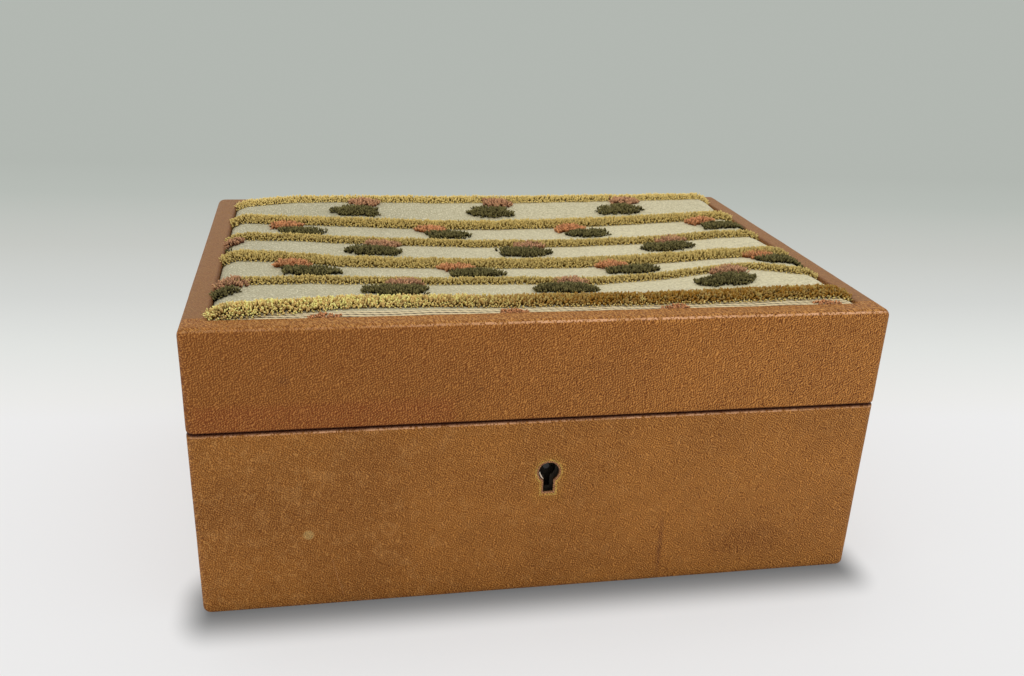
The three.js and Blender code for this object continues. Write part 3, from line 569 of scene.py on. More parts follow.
LEATHER_BASE = node_box("base_leather")
LEATHER_LID = node_box("lid_leather")
WIDTH, DEPTH = (LEATHER_BASE[1] - LEATHER_BASE[0])[:2]
FRONT_Y = -DEPTH / 2
RIM_LEVEL = LEATHER_BASE[1][2]
LID_RIM = LEATHER_LID[0][2]
TOP_LEVEL = LEATHER_LID[1][2]
SEAM_LEVEL = (RIM_LEVEL + LID_RIM) / 2
LEATHER_THICK = 1.0
LEATHER_CELL = 2.0
CORNER_RADIUS = 3.0
RIM_RADIUS = 0.9
BOTTOM_RADIUS = 2.0
TOP_RADIUS = 2.6
TURN_IN = 12.0
RIM_REACH = node_box("base_front_panel")[1][1] - LEATHER_BASE[0][1]
CARD = node_box("top_panel_card")
PANEL_WIDTH, PANEL_DEPTH = (CARD[1] - CARD[0])[:2]
PANEL_FRONT = -PANEL_DEPTH / 2
RECESS_LAP = 0.4
RECESS_INSET = (WIDTH - PANEL_WIDTH) / 2 - RECESS_LAP
RECESS_LEVEL = CARD[0][2]
ROLL_RADIUS = 0.8
HINGE = next(joint for joint in frame["joints"] if joint["name"] == "lid_hinge")
HINGE_Y, HINGE_Z = HINGE["pos_m"][1] / MM, HINGE["pos_m"][2] / MM

KEYHOLE_BELOW_RIM = 19.5
KEYHOLE_LEVEL = RIM_LEVEL - KEYHOLE_BELOW_RIM
KEYHOLE_HEAD = 3.55
KEYHOLE_SLOT = 3.5
KEYHOLE_DROP = 7.5
KEYHOLE_PRESS = 0.25
KEYHOLE_PRESS_REACH = 0.7
KEYHOLE_FINE_REACH = 10.5

CUT_PAST = 1.0
LOOSE_FIT = 0.2
LEAF_MORTISE = 1.7
BARREL_GROOVE = 2.5
SELVEDGE_MORTISE = 1.8
SELVEDGE_INWARD = 2.0

LEATHER_SWELLS = ((17, 0.7), (6, 0.3))


# Leather


class LeatherLook(NamedTuple):
    """How the leather of one half of the box differs from the other's, and how much painted shade darkens it
    towards the left.
    """

    grain_stretch: float
    grain_slant: float
    shade: float
    painted_shade_leftward: float
    redness: float
    contrast: float
    contrast_lost_leftward: float


BASE_LOOK = LeatherLook(
    grain_stretch=1.4,
    grain_slant=22,
    shade=0.2,
    painted_shade_leftward=0.4,
    redness=0,
    contrast=1.3,
    contrast_lost_leftward=0.46,
)
LID_LOOK = LeatherLook(
    grain_stretch=1.8,
    grain_slant=-30,
    shade=0,
    painted_shade_leftward=1.0,
    redness=0.25,
    contrast=1.5,
    contrast_lost_leftward=0.68,
)


def pebbled_grain(s, pitch, stretch, slant_degrees):
    """Rows of small pebbles that run aslant and wander: 1 on their crests and -1 in the valleys."""
    slant = math.radians(slant_degrees)
    across = s.x * math.cos(slant) + s.z * math.sin(slant) + s.y * 0.8
    along = s.z * math.cos(slant) - s.x * math.sin(slant) + s.y * 0.35
    turns = 2 * math.pi / pitch
    row_wander = s.noise(2.6, 2) * 16
    column_wander = s.noise(2.2, 2) * 18
    return sine(across * turns + row_wander) * sine(along * (turns / stretch) + column_wander)


def leather_material(name, look, marks, worn_and_highlit_edge):
    """Tan leather with a fine pebbled grain, blotches, worn edges and the marks of age, and painted light:
    shade towards the left, highlights on the grain's crests and along the worn edges, shade in the grain's
    valleys and in the seam.
    """
    c = colours()
    s = Shade(name)
    grain = millimetres(sizes().grain_pitch)
    pebbles = pebbled_grain(s, grain, look.grain_stretch, look.grain_slant)
    pores = s.noise(grain * 0.25, 1)
    # Painted shade: the leather darkens towards the left, and the painted light on its grain weakens there.
    leftward = 1 - s.x.ramp(-WIDTH / 2, WIDTH / 2)
    blotch = s.noise(26, 3, 0.55).ramp(0.35, 0.65)
    cloud = s.noise(7, 3, 0.6).ramp(0.42, 0.68)
    blotch_and_painted_shade = blotch * 0.35 + leftward * look.painted_shade_leftward + look.shade
    colour = s.mix(blotch_and_painted_shade, c.leather, c.leather_blotch_and_shade)
    colour = s.mix(cloud * 0.26, colour, c.leather_blotch_and_shade)
    colour = s.mix(look.redness, colour, c.leather_red)
    for mask, tint in marks(s):
        colour = s.mix(mask, colour, tint)

    rubbed_flat = s.z.ramp(TOP_LEVEL - 1.2, TOP_LEVEL - 0.3) * s.y.ramp(FRONT_Y + 8, FRONT_Y + 11)
    relief = 1 - rubbed_flat * 0.65
    contrast = look.contrast - leftward * look.contrast_lost_leftward
    # Painted light on the grain: grime and painted shade in the valleys, painted highlights on the crests.
    valleys = (-pebbles).ramp(-0.3, 0.9) * 0.85 + pores.ramp(0.42, 0.58) * 0.25
    crests = pebbles.ramp(0, 0.9) * 0.5 + (1 - pores.ramp(0.38, 0.5)) * 0.22
    colour = s.mix(valleys * relief * contrast * 0.68, colour, c.leather_grime_and_shade)
    colour = s.mix(crests * contrast * relief, colour, srgb(222, 156, 82))
    # Worn edges, with a painted highlight along their rounding.
    colour = s.mix(worn_and_highlit_edge(s), colour, c.leather_worn_and_highlight)

    # Painted shade in the seam between lid and base, lighter further in on the rim.
    painted_seam_shade = 1 - abs(s.z - SEAM_LEVEL).ramp(0.25, 1.0)
    deep_in_seam = from_sides(s).ramp(0.8, 2.2)
    colour = s.mix(painted_seam_shade * (0.9 - deep_in_seam * 0.6), colour, srgb(58, 14, 10))
    height = (pebbles * 0.5 - pores * 0.4) * relief
    roughness = 0.56 + pores * 0.12 - pebbles * 0.05
    return s.finish(colour, roughness, s.bump(height, 0.2, 0.9), specular_ior_level=0.18)


def from_sides(s):
    """Distance inwards from the nearest side of the box."""
    return least(WIDTH / 2 - abs(s.x), DEPTH / 2 - abs(s.y))


def on_front(s):
    """1 on the front of the box and 0 behind it."""
    return 1 - s.y.ramp(FRONT_Y + 1, FRONT_Y + 3)


def edge_wear_and_highlight(s, y_edge, z_edge, reach):
    """A broken line of wear along a straight edge, partly a painted highlight, as a mask."""
    dy, dz = s.y - y_edge, s.z - z_edge
    near = 1 - root(dy * dy + dz * dz).ramp(reach * 0.5, reach)
    dots = s.noise(0.8, 2, 0.7).ramp(0.42, 0.52)
    patches = s.noise(12, 2, 0.6).ramp(0.35, 0.6)
    return near * dots * (0.5 + patches * 0.5)


class Stain(NamedTuple):
    """A stain on the front: its middle in X and Z, half its size, its soft rim, strength and colour."""

    middle: tuple
    reach: tuple
    soft: float
    strength: float
    colour: tuple

    def mark(self, s):
        shape = ellipse_mask(s.x, s.z, self.middle, self.reach, self.soft)
        return shape * on_front(s) * self.strength, self.colour


BASE_STAINS = (
    Stain((-79.5, 29.2), (1.7, 1.7), 0.25, 0.9, srgb(186, 156, 98)),
    Stain((41.7, 15), (0.8, 11), 0.8, 0.85, srgb(94, 40, 14)),
    Stain((75, 16), (13, 6), 0.7, 0.7, srgb(120, 66, 14)),
)
LID_STAINS = (
    Stain((-84.7, 84.3), (1.6, 1.4), 0.7, 0.5, srgb(84, 42, 18)),
    Stain((-23.7, 79), (0.8, 0.7), 0.7, 0.5, srgb(84, 42, 18)),
)
SCRATCH_X = (-66.6, -66.3)
SCRATCH_Z = (6, 18)


def base_marks(s):
    """Pairs of mask and colour for the marks on the base, with painted near black shade inside the keyhole.
    """
    front = on_front(s)
    hole = keyhole_distance(s.x, s.z)
    foot = (1 - s.z.ramp(2, 8)) * s.noise(9).ramp(0.3, 0.7)
    scratch = (s.x + s.z * 0.25 + s.noise(5) * 2).band(*SCRATCH_X, 0.12) * s.z.band(*SCRATCH_Z, 3)
    veins = s.noise(5, 2, 0.5, distortion=1.5).band(0.495, 0.505, 0.006) * (1 - s.x.ramp(-90, -20))
    mottle = s.noise(4.5, 3, 0.65, distortion=0.6).ramp(0.5, 0.68) * (1 - s.x.ramp(-40, 60) * 0.4)
    ragged_rim = hole.band(0.8, 1.1, 0.3) * s.noise(1.1, 2, 0.6).ramp(0.38, 0.54)
    # Painted shade: the leather's walls inside the keyhole are painted near black.
    keyhole_inside_shade = (1 - hole.ramp(0.05, 0.3)) * s.y.band(FRONT_Y + 0.7, FRONT_Y + 4, 0.3)
    return [
        (foot * 0.04, srgb(124, 72, 36)),
        *(stain.mark(s) for stain in BASE_STAINS),
        (scratch * front * 0.14, colours().leather_worn_and_highlight),
        (veins * front * 0.5, srgb(206, 152, 84)),
        (mottle * front * 0.26, srgb(204, 150, 88)),
        ((1 - hole.ramp(0, 5)) * front * 0.4, srgb(168, 126, 44)),
        (ragged_rim * front * 0.85, srgb(206, 176, 88)),
        ((1 - hole.ramp(0.35, 0.7)) * front * 0.8, srgb(150, 112, 96)),
        (keyhole_inside_shade * 0.97, srgb(20, 13, 9)),
        (edge_wear_and_highlight(s, FRONT_Y + 0.6, LEATHER_BASE[0][2] + 0.8, 1.4) * 0.35, srgb(190, 120, 78)),
    ]


def base_rim_wear_and_highlight(s):
    """Wear and a painted highlight along the front of the base's rim."""
    return edge_wear_and_highlight(s, FRONT_Y + 0.25, RIM_LEVEL - 0.5, 0.7) * 0.9


def lid_marks(s):
    """Pairs of mask and colour for the marks on the lid, with painted shade at the front border's left and
    where the leather rolls into the recess.
    """
    c = colours()
    top = s.z.ramp(TOP_LEVEL - 1.6, TOP_LEVEL - 0.5)
    front_border = (1 - s.y.ramp(FRONT_Y + 9.5, FRONT_Y + 10.5)) * top
    other_border = s.y.ramp(FRONT_Y + 7.5, FRONT_Y + 9.5) * top
    flecks = s.noise(0.65, 1, 0.5, s.stretched(1, 0.45, 1))
    low_strip = s.x.band(-110, -35, 6) * s.z.band(LID_RIM, LID_RIM + 7, 4)
    # Painted shade where the leather rolls down into the panel's recess.
    near_recess = from_sides(s).ramp(RECESS_INSET - 1.4, RECESS_INSET - 0.3)
    shaded_roll = near_recess * s.z.ramp(RECESS_LEVEL - 1, RECESS_LEVEL)
    return [
        (other_border * 0.9, c.leather_faded),
        (other_border * s.noise(2.6, 3, 0.6).ramp(0.42, 0.6) * 0.3, srgb(128, 82, 54)),
        (front_border * 0.85, c.leather_border),
        (front_border * s.noise(7, 2).ramp(0.55, 0.75) * 0.3, srgb(172, 92, 40)),
        (front_border * flecks.ramp(0.5, 0.58) * 0.55, srgb(112, 66, 24)),
        (front_border * (1 - flecks.ramp(0.42, 0.5)) * 0.45, srgb(226, 174, 104)),
        # Painted shade: the front border darkens towards the left.
        (front_border * (1 - s.x.ramp(-110, -30)) * 0.3, c.leather_blotch_and_shade),
        (low_strip * on_front(s) * 0.45, srgb(134, 58, 22)),
        *(stain.mark(s) for stain in LID_STAINS),
        (shaded_roll * 0.6, srgb(92, 52, 30)),
    ]


def lid_edge_wear_and_highlight(s):
    """Wear and a painted highlight along the front of the lid's top, heavier at the right."""
    return edge_wear_and_highlight(s, FRONT_Y + 0.75, TOP_LEVEL - 0.75, 0.55) * (0.25 + s.x.ramp(-80, 40))


def keyhole_distance(x, z):
    """Distance from the keyhole's rim on the front, negative inside, for wires or arrays."""
    dz = z - KEYHOLE_LEVEL
    head = root(x * x + dz * dz) - KEYHOLE_HEAD
    slot_side = abs(x) - KEYHOLE_SLOT / 2
    slot_end = abs(dz + KEYHOLE_DROP / 2) - KEYHOLE_DROP / 2
    return least(head, most(slot_side, slot_end))


def keyhole_outline(count=28):
    """The keyhole's outline in X and Z: a round head with a slot below."""
    half = KEYHOLE_SLOT / 2
    start = -math.pi / 2 + math.asin(half / KEYHOLE_HEAD)
    turn = np.linspace(start, math.pi - start, count)
    arc = np.stack([KEYHOLE_HEAD * np.cos(turn), KEYHOLE_LEVEL + KEYHOLE_HEAD * np.sin(turn)], 1)
    foot = KEYHOLE_LEVEL - KEYHOLE_DROP
    return np.vstack([[(half, foot)], arc, [(-half, foot)]])


def press_keyhole(mesh):
    """Makes the front finer round the keyhole and presses the leather in at its rim."""
    outer_half = FRONT_Y + LEATHER_THICK / 2
    reach, middle_z = KEYHOLE_FINE_REACH * MM, (KEYHOLE_LEVEL - KEYHOLE_DROP / 3) * MM

    def is_near(place):
        return abs(place.x) < reach and abs(place.z - middle_z) < reach and place.y < outer_half * MM

    with edited(mesh) as work:
        for _ in range(2):
            near = [face for face in work.faces if is_near(face.calc_center_median())]
            edges = sorted({edge for face in near for edge in face.edges}, key=lambda edge: edge.index)
            bmesh.ops.subdivide_edges(work, edges=edges, cuts=1, use_grid_fill=True)
            work.edges.index_update()
    points = mesh_points(mesh)
    distance = np.maximum(keyhole_distance(points[:, 0], points[:, 2]), 0)
    pressed = KEYHOLE_PRESS * np.exp(-((distance / KEYHOLE_PRESS_REACH) ** 2))
    front = points[:, 1] < outer_half
    points[front, 1] += pressed[front]
    set_mesh_points(mesh, points)


def wave_leather(piece, seed):
    """Gives the outer skin the shallow swells of leather glued over boards."""
    mesh = piece.data
    points, normals = mesh_points(mesh), mesh_normals(mesh)
    inner = LEATHER_THICK * 0.9
    outside = (abs(points[:, 0]) > WIDTH / 2 - inner) | (abs(points[:, 1]) > DEPTH / 2 - inner)
    outside |= points[:, 2] > TOP_LEVEL - inner / 2
    swells = [swell(points, size, seed + k) * share for k, (size, share) in enumerate(LEATHER_SWELLS)]
    lift = sum(swells) * millimetres(sizes().leather_wave)
    points[outside] += (normals * lift[:, None])[outside]
    set_mesh_points(mesh, points)


def hinge_cutters(half, bottom, top):
    """What the hinge leaves and barrels take out of the leather of one half, lid or base."""
    cutters = []
    for side in ("left", "right"):
        low, high = node_box(f"hinge_{side}_{half}_leaf")
        left, right = low[0] - LOOSE_FIT, high[0] + LOOSE_FIT
        cutters.append(block_cutter((left, low[1], bottom), (right, HINGE_Y, top)))
        cutters.append(prism_cutter(circle(BARREL_GROOVE, (HINGE_Y, HINGE_Z)), left, right, 0))
    return cutters


def selvedge_cutter(node, bottom, top):
    """What a plate of the lock takes out of the leather on the rim."""
    low, high = node_box(node)
    corner = (high[0] + LOOSE_FIT, high[1] + SELVEDGE_INWARD, top)
    return block_cutter((low[0] - LOOSE_FIT, low[1] - LOOSE_FIT, bottom), corner)


def base_leather_profile():
    bottom, top, t = LEATHER_BASE[0][2], RIM_LEVEL, LEATHER_THICK
    outer = [
        (RIM_REACH, top),
        *quarter_arc((RIM_RADIUS, top - RIM_RADIUS), RIM_RADIUS, 90, 180),
        *quarter_arc((BOTTOM_RADIUS, bottom + BOTTOM_RADIUS), BOTTOM_RADIUS, 180, 270),
        (TURN_IN, bottom),
    ]
    inner = [(TURN_IN, bottom + t), (t, bottom + t), (t, top - t), (RIM_REACH, top - t)]
    return [*stepped(outer, LEATHER_CELL), *inner]


def lid_leather_profile():
    bottom, top, t = LID_RIM, TOP_LEVEL, LEATHER_THICK
    outer = [
        (RIM_REACH, bottom),
        *reversed(quarter_arc((RIM_RADIUS, bottom + RIM_RADIUS), RIM_RADIUS, 180, 270)),
        *reversed(quarter_arc((TOP_RADIUS, top - TOP_RADIUS), TOP_RADIUS, 90, 180, 7)),
        *reversed(quarter_arc((RECESS_INSET - ROLL_RADIUS, top - ROLL_RADIUS), ROLL_RADIUS, 0, 90)),
        (RECESS_INSET, RECESS_LEVEL),
    ]
    inner = [
        (RECESS_INSET - t, RECESS_LEVEL),
        (RECESS_INSET - t, top - t),
        (t, top - t),
        (t, bottom + t),
        (RIM_REACH, bottom + t),
    ]
    return [*stepped(outer, LEATHER_CELL), *inner]


def leather_cover(name, profile, material, seed):
    """The skin of one half of the box, swept round it from its profile."""
    piece = swept_ring(name, WIDTH, DEPTH, CORNER_RADIUS, profile, LEATHER_CELL, material)
    wave_leather(piece, seed)
    return piece


def make_base_leather():
    material = leather_material("tan_leather_base", BASE_LOOK, base_marks, base_rim_wear_and_highlight)
    piece = leather_cover("base_leather_cover", base_leather_profile(), material, sizes().seed)
    press_keyhole(piece.data)
    carve(piece, prism_cutter(keyhole_outline(), FRONT_Y - CUT_PAST, FRONT_Y + 2 * LEATHER_THICK, 1))
    carve(piece, selvedge_cutter("lock_plate", RIM_LEVEL - SELVEDGE_MORTISE, RIM_LEVEL + CUT_PAST))
    for cutter in hinge_cutters("base", RIM_LEVEL - LEAF_MORTISE, RIM_LEVEL + CUT_PAST):
        carve(piece, cutter)
    make_keyhole_sliver()
    return settle(piece, "base", "tan_leather", "base_leather")


def make_keyhole_sliver():
    """A pale sliver of torn leather that stands just inside the keyhole's lower left rim."""
    steps, sides, inside_rim, behind_front = 12, 6, 0.3, 0.45
    start, end, thickest, taper = 176, 238, 0.26, 0.12
    turn = np.radians(np.linspace(start, end, steps))
    thickness = thickest * np.sin(np.linspace(taper, math.pi - taper, steps)) ** 0.7
    radius = KEYHOLE_HEAD - inside_rim - thickness
    spin = np.arange(sides) * 2 * math.pi / sides
    rings = []
    for t, r, fat in zip(turn, radius, thickness):
        reach = r + fat * np.cos(spin)
        y = FRONT_Y + behind_front + fat * np.sin(spin)
        rings.append(np.column_stack([reach * math.cos(t), y, KEYHOLE_LEVEL + reach * math.sin(t)]))
    s = Shade("torn_leather")
    fibre = s.noise(0.4, 2)
    colour = s.mix(fibre.ramp(0.4, 0.6), srgb(236, 222, 202), srgb(190, 160, 130))
    material = s.finish(colour, 0.8, s.bump(fibre, 0.05))
    piece = make_piece("keyhole_sliver", np.vstack(rings), tube_faces(steps, sides), material)
    return settle(piece, "base", "tan_leather")


def make_lid_leather():
    material = leather_material("tan_leather_lid", LID_LOOK, lid_marks, lid_edge_wear_and_highlight)
    piece = leather_cover("lid_leather_cover", lid_leather_profile(), material, sizes().seed + 5)
    carve(piece, selvedge_cutter("link_plate", LID_RIM - CUT_PAST, LID_RIM + SELVEDGE_MORTISE))
    for cutter in hinge_cutters("lid", LID_RIM - CUT_PAST, LID_RIM + LEAF_MORTISE):
        carve(piece, cutter)
    return settle(piece, "lid", "tan_leather", "lid_leather")


# Brocade panel: its ground, its pile stripes and its sprigs

GROUND_LEVEL = node_box("top_brocade")[0][2]
PAD_EDGE = 2.9
PAD_SHOULDER = 4.9
PAD_ROLL = 6.0
PAD_SAG = 3.8
SAG_CENTRE = 0.12
SAG_BACK_POWER = 3.2
SAG_FRONT_POWER = 1.8
SAG_END_POWER = 1.5
BULGE_HEIGHT = 1.9
BULGE_RADIUS = 20.0
BULGE_PLACE = (0.76, -0.54)
BACK_LIFT = 1.9
BACK_LIFT_FROM = 42.0
BACK_LIFT_TO = 66.0
BACK_LIFT_FADE = 28.0
BROAD_RIPPLE = 0.16
FINE_RIPPLE = 0.07
CHANNEL_DEPTH = 0.35
CHANNEL_REACH = 2.2
EDGE_CORDS_REACH = 4.0
EDGE_CORDS_FADE_FROM = 3.0
EDGE_CORDS_HEIGHT = 0.28
CORD_PITCH = 1.05
CORD_TWIST = 2.6
WEAVE_CORD_PITCH = 0.62
WEAVE_SLUB_PITCH = 0.95


class Stripe(NamedTuple):
    """One stripe of pile: the y of its middle, its size, and its shift in y at places along x."""

    middle: float
    width: float
    height: float
    bends: tuple

    def middle_at(self, x):
        places, shifts = zip(*self.bends)
        return self.middle + np.interp(x, places, shifts)


STRIPE_PITCH = 27.3
FRONT_STRIPE_BENDS = ((-106, -1.5), (-90, 0.5), (-60, 4.5), (-40, 4), (-10, 2.2), (50, 1.4), (106, 2))
SECOND_STRIPE_BENDS = (
    (-106, 0), (-76, 3), (2, 2.2), (25, 0.3), (62, 4.2), (82, 3), (97, -1.5), (106, -2),
)
STRIPES = (
    Stripe(-2.5 * STRIPE_PITCH, 8.2, 3.2, FRONT_STRIPE_BENDS),
    Stripe(-1.5 * STRIPE_PITCH, 5.2, 2.4, SECOND_STRIPE_BENDS),
    Stripe(-0.5 * STRIPE_PITCH, 7.8, 3.1, ((-106, 3), (-88, 2.4), (-65, -1.5), (60, -2), (106, -3.5))),
    Stripe(0.5 * STRIPE_PITCH, 5.5, 2.6, ((-106, 1), (-85, 2.4), (-50, 0.5), (20, -1.5), (106, -2.4))),
    Stripe(1.5 * STRIPE_PITCH, 7.4, 3.1, ((-106, 0), (-60, -0.5), (-15, -1.8), (30, 0), (106, 0))),
    Stripe(2.5 * STRIPE_PITCH, 5.4, 2.7, ((-106, 0), (-60, 0.8), (106, 0.8))),
)


def panel_height(x, y):
    """The level of the brocade's ground: rolled at its edges, sunk in the middle, swollen at the right."""
    inside = np.minimum(PANEL_WIDTH / 2 - abs(x), PANEL_DEPTH / 2 - abs(y))
    rise = np.sin(math.pi / 2 * np.clip(inside / PAD_ROLL, 0, 1))
    u = x / (PANEL_WIDTH / 2) - SAG_CENTRE
    v = y / (PANEL_DEPTH / 2)
    across = np.maximum(0, 1 - (u / np.where(u > 0, 1 - SAG_CENTRE, 1 + SAG_CENTRE)) ** 2)
    along = np.maximum(0, 1 - abs(v) ** np.where(v > 0, SAG_BACK_POWER, SAG_FRONT_POWER))
    sag = PAD_SAG * across**SAG_END_POWER * along
    dx = x - BULGE_PLACE[0] * PANEL_WIDTH / 2
    dy = y - BULGE_PLACE[1] * PANEL_DEPTH / 2
    bulge = BULGE_HEIGHT * np.exp(-(dx**2 + dy**2) / BULGE_RADIUS**2)
    lift = BACK_LIFT * ease((y - BACK_LIFT_FROM) / (BACK_LIFT_TO - BACK_LIFT_FROM))
    lift = lift * ease((x + PANEL_WIDTH / 2) / BACK_LIFT_FADE)
    return GROUND_LEVEL + PAD_EDGE + rise * (PAD_SHOULDER - PAD_EDGE + bulge + lift) - sag


def ground_height(x, y):
    """The ground with its small ripples and the channels where the stripes bind it down."""
    x, y = np.broadcast_arrays(np.asarray(x, float), np.asarray(y, float))
    flat = np.column_stack([x.ravel(), y.ravel(), np.zeros(x.size)])
    ripple = BROAD_RIPPLE * swell(flat, 11, 31) + FINE_RIPPLE * swell(flat, 3.5, 32)
    outside = np.min([abs(y - stripe.middle_at(x)) - stripe.width / 2 for stripe in STRIPES], axis=0)
    channel = CHANNEL_DEPTH * np.exp(-((outside / CHANNEL_REACH) ** 2))
    return panel_height(x, y) + ripple.reshape(x.shape) - channel


def satin_ground_material():
    """Cream satin with a fine corded weave, with painted shade towards the left, darker towards the back, and
    loose cords in front with painted shade in their grooves.
    """
    s = Shade("cream_satin_ground")
    cord = sine(s.y * (2 * math.pi / WEAVE_CORD_PITCH) + s.noise(3) * 2)
    slub = sine(s.x * (2 * math.pi / WEAVE_SLUB_PITCH) + wave(s.y, 2 * WEAVE_CORD_PITCH) * 1.6)
    patches = s.noise(22, 3).ramp(0.3, 0.7)
    threads = s.noise(0.7, 2, 0.7, s.stretched(0.45, 1.3, 1))
    bright_flecks = s.noise(0.6, 1).ramp(0.5, 0.66)
    # Painted shade: the satin darkens towards the left; it is also darker towards the back and in patches.
    leftward = 1 - s.x.ramp(-PANEL_WIDTH / 2, PANEL_WIDTH * 0.3)
    rearward = s.y.ramp(10, PANEL_DEPTH / 2)
    painted_shade_and_patches = leftward * 0.8 + patches * 0.15 + rearward * 0.3
    colour = s.mix(painted_shade_and_patches, colours().cream, srgb(166, 160, 128))
    colour = s.mix(threads.ramp(0.46, 0.64) * 0.7, colour, srgb(160, 148, 110))
    colour = s.mix(bright_flecks * 0.7, colour, srgb(228, 219, 184))
    edge = 1 - s.y.ramp(PANEL_FRONT + 3, PANEL_FRONT + 4.5)
    # Painted shade in the grooves between the loose cords.
    painted_groove_shade = 1 - loose_cords(s.x, s.y - PANEL_FRONT).ramp(-0.9, 0.5)
    colour = s.mix(edge * 0.85, colour, srgb(242, 222, 176))
    colour = s.mix(edge * painted_groove_shade, colour, srgb(60, 36, 16))
    height = cord * 0.5 + slub * 0.35 + threads * 0.5
    return s.finish(colour, 0.6 + threads * 0.2, s.bump(height, 0.09, 0.8), sheen_weight=0.1)


def loose_cords(x, from_front):
    """The loose cords along the front edge: -1 in their grooves and 1 on their crests."""
    across = wave(from_front + sine(x * 0.21) * 0.25, CORD_PITCH)
    twist = wave(x + from_front * 0.9, CORD_TWIST)
    return across * 0.75 + twist * 0.25


def make_brocade_ground():
    cell = millimetres(sizes().cell)
    xs = np.linspace(-PANEL_WIDTH / 2, PANEL_WIDTH / 2, int(PANEL_WIDTH / cell) + 1)
    front_ys = np.arange(PANEL_FRONT, PANEL_FRONT + EDGE_CORDS_REACH, CORD_PITCH / 5)
    other_ys = np.linspace(PANEL_FRONT + EDGE_CORDS_REACH, -PANEL_FRONT, int(PANEL_DEPTH / cell))
    ys = np.concatenate([front_ys, other_ys])
    x, y = np.meshgrid(xs, ys)
    from_front = y - PANEL_FRONT
    fade = ease((from_front - EDGE_CORDS_FADE_FROM) / (EDGE_CORDS_REACH - EDGE_CORDS_FADE_FROM))
    cords = EDGE_CORDS_HEIGHT * loose_cords(x, from_front) * (1 - fade)
    top = np.column_stack([x.ravel(), y.ravel(), (ground_height(x, y) + cords).ravel()])
    rim = rim_indices(len(ys), len(xs))
    foot = np.column_stack([top[rim][:, :2], np.full(len(rim), GROUND_LEVEL)])
    foot_rim = [len(top) + k for k in range(len(rim))]
    faces = [*grid_faces(len(ys), len(xs)).tolist(), *sewn_faces(rim, foot_rim), foot_rim]
    piece = make_piece("brocade_ground", np.vstack([top, foot]), faces, satin_ground_material())
    return settle(piece, "lid", "brocade", "top_brocade")


def pile_material(name, tip, root, contrast=1.0, painted_rear_light=0.25, browner=None):
    """Cut pile with painted shade at its roots and painted light on many tips, whose tufts and strands differ
    in tone.
    """
    s = Shade(name)
    rise, tone, foot = s.attribute("rise"), s.attribute("tone"), s.attribute("foot")
    chance = s.chance()
    light = tuple(min(1, value * (1 + 0.55 * contrast)) for value in tip)
    dull = tuple(value * (1 - 0.55 * contrast) for value in tip)
    drift = s.noise(4, 2)
    colour, plain = tip, 1
    if browner is not None:
        brown, mask = browner(s)
        colour = s.mix(mask, tip, brown)
        plain = 1 - mask * 0.85
    colour = s.mix((1 - tone.ramp(0, 0.45)) * 0.6 + (1 - chance.ramp(0, 0.4)) * 0.4, colour, dull)
    # Painted light: tips made lighter, partly at random and partly as painted highlights, more towards the
    # back.
    lit = (chance * 0.7 + drift * 0.6 + s.y.ramp(10, 75) * painted_rear_light).ramp(0.55, 0.95)
    colour = s.mix(lit * 0.9 * plain, colour, light)
    colour = s.mix(foot * (1 if browner is None else s.x.ramp(-60, 40)), colour, srgb(236, 212, 134))
    # Painted shade at the roots, deep in the pile.
    colour = s.mix(1 - rise.ramp(0.3, 0.95), colour, root)
    fibre = s.noise(0.16, 2, 0.6, s.stretched(1, 1, 0.25))
    return s.finish(colour, 0.85, s.bump(fibre, 0.05, 0.8), specular_ior_level=0.15)


def brown_stretches(s):
    """The brown that the front gold stripe turns to towards its right end, and the mask of it."""
    return colours().gold_brown, s.x.ramp(-60, 20) * 0.95 * s.noise(7).ramp(0.1, 0.4)


STRAND_SIDES = 4
STRAND_SHARES = (0, 0.62, 0.9)
STRAND_FATNESS = (0.65, 1.0, 0.85)
STRAND_FATNESS_RANGE = (0.85, 1.15)
STRAND_LENGTH_RANGE = (0.82, 1.06)
STRAND_SPLAY_RANGE = (0.02, 0.32)
STRAND_BEND = 0.2
STRANDS_IN_TUFT = 3
STRAND_TURN_JITTER = 0.3
TUFT_SPREAD = 0.26
TUFT_SINK = 0.2


class Tufts(NamedTuple):
    """Places of tufts of pile, one row of each array for each tuft."""

    roots: np.ndarray
    directions: np.ndarray
    lengths: np.ndarray
    foot: np.ndarray

    def kept(self, keep):
        return Tufts(*(values[keep] for values in self))


def unit(vectors):
    return vectors / np.linalg.norm(vectors, axis=1)[:, None]


def across_of(directions):
    """Two unit vectors square to each direction."""
    side = unit(np.cross(directions, np.array([0.0, 1.0, 0.13])))
    return side, np.cross(directions, side)


def split_into_strands(tufts, rng):
    """The strands of each tuft, which splay from its root: a place, a direction, a length and a tone."""
    count = len(tufts.roots)
    directions = unit(tufts.directions)
    side, other = across_of(directions)
    start = rng.uniform(0, 2 * math.pi, count)
    tone = rng.uniform(0, 1, count)
    parts = []
    for k in range(STRANDS_IN_TUFT):
        turn = start + k * 2 * math.pi / STRANDS_IN_TUFT + rng.normal(0, STRAND_TURN_JITTER, count)
        out = np.cos(turn)[:, None] * side + np.sin(turn)[:, None] * other
        roots = tufts.roots + out * TUFT_SPREAD
        lean = directions + out * rng.uniform(*STRAND_SPLAY_RANGE, count)[:, None]
        lengths = tufts.lengths * rng.uniform(*STRAND_LENGTH_RANGE, count)
        parts.append((roots, unit(lean), lengths, tone, tufts.foot))
    return [np.concatenate(values) for values in zip(*parts)]


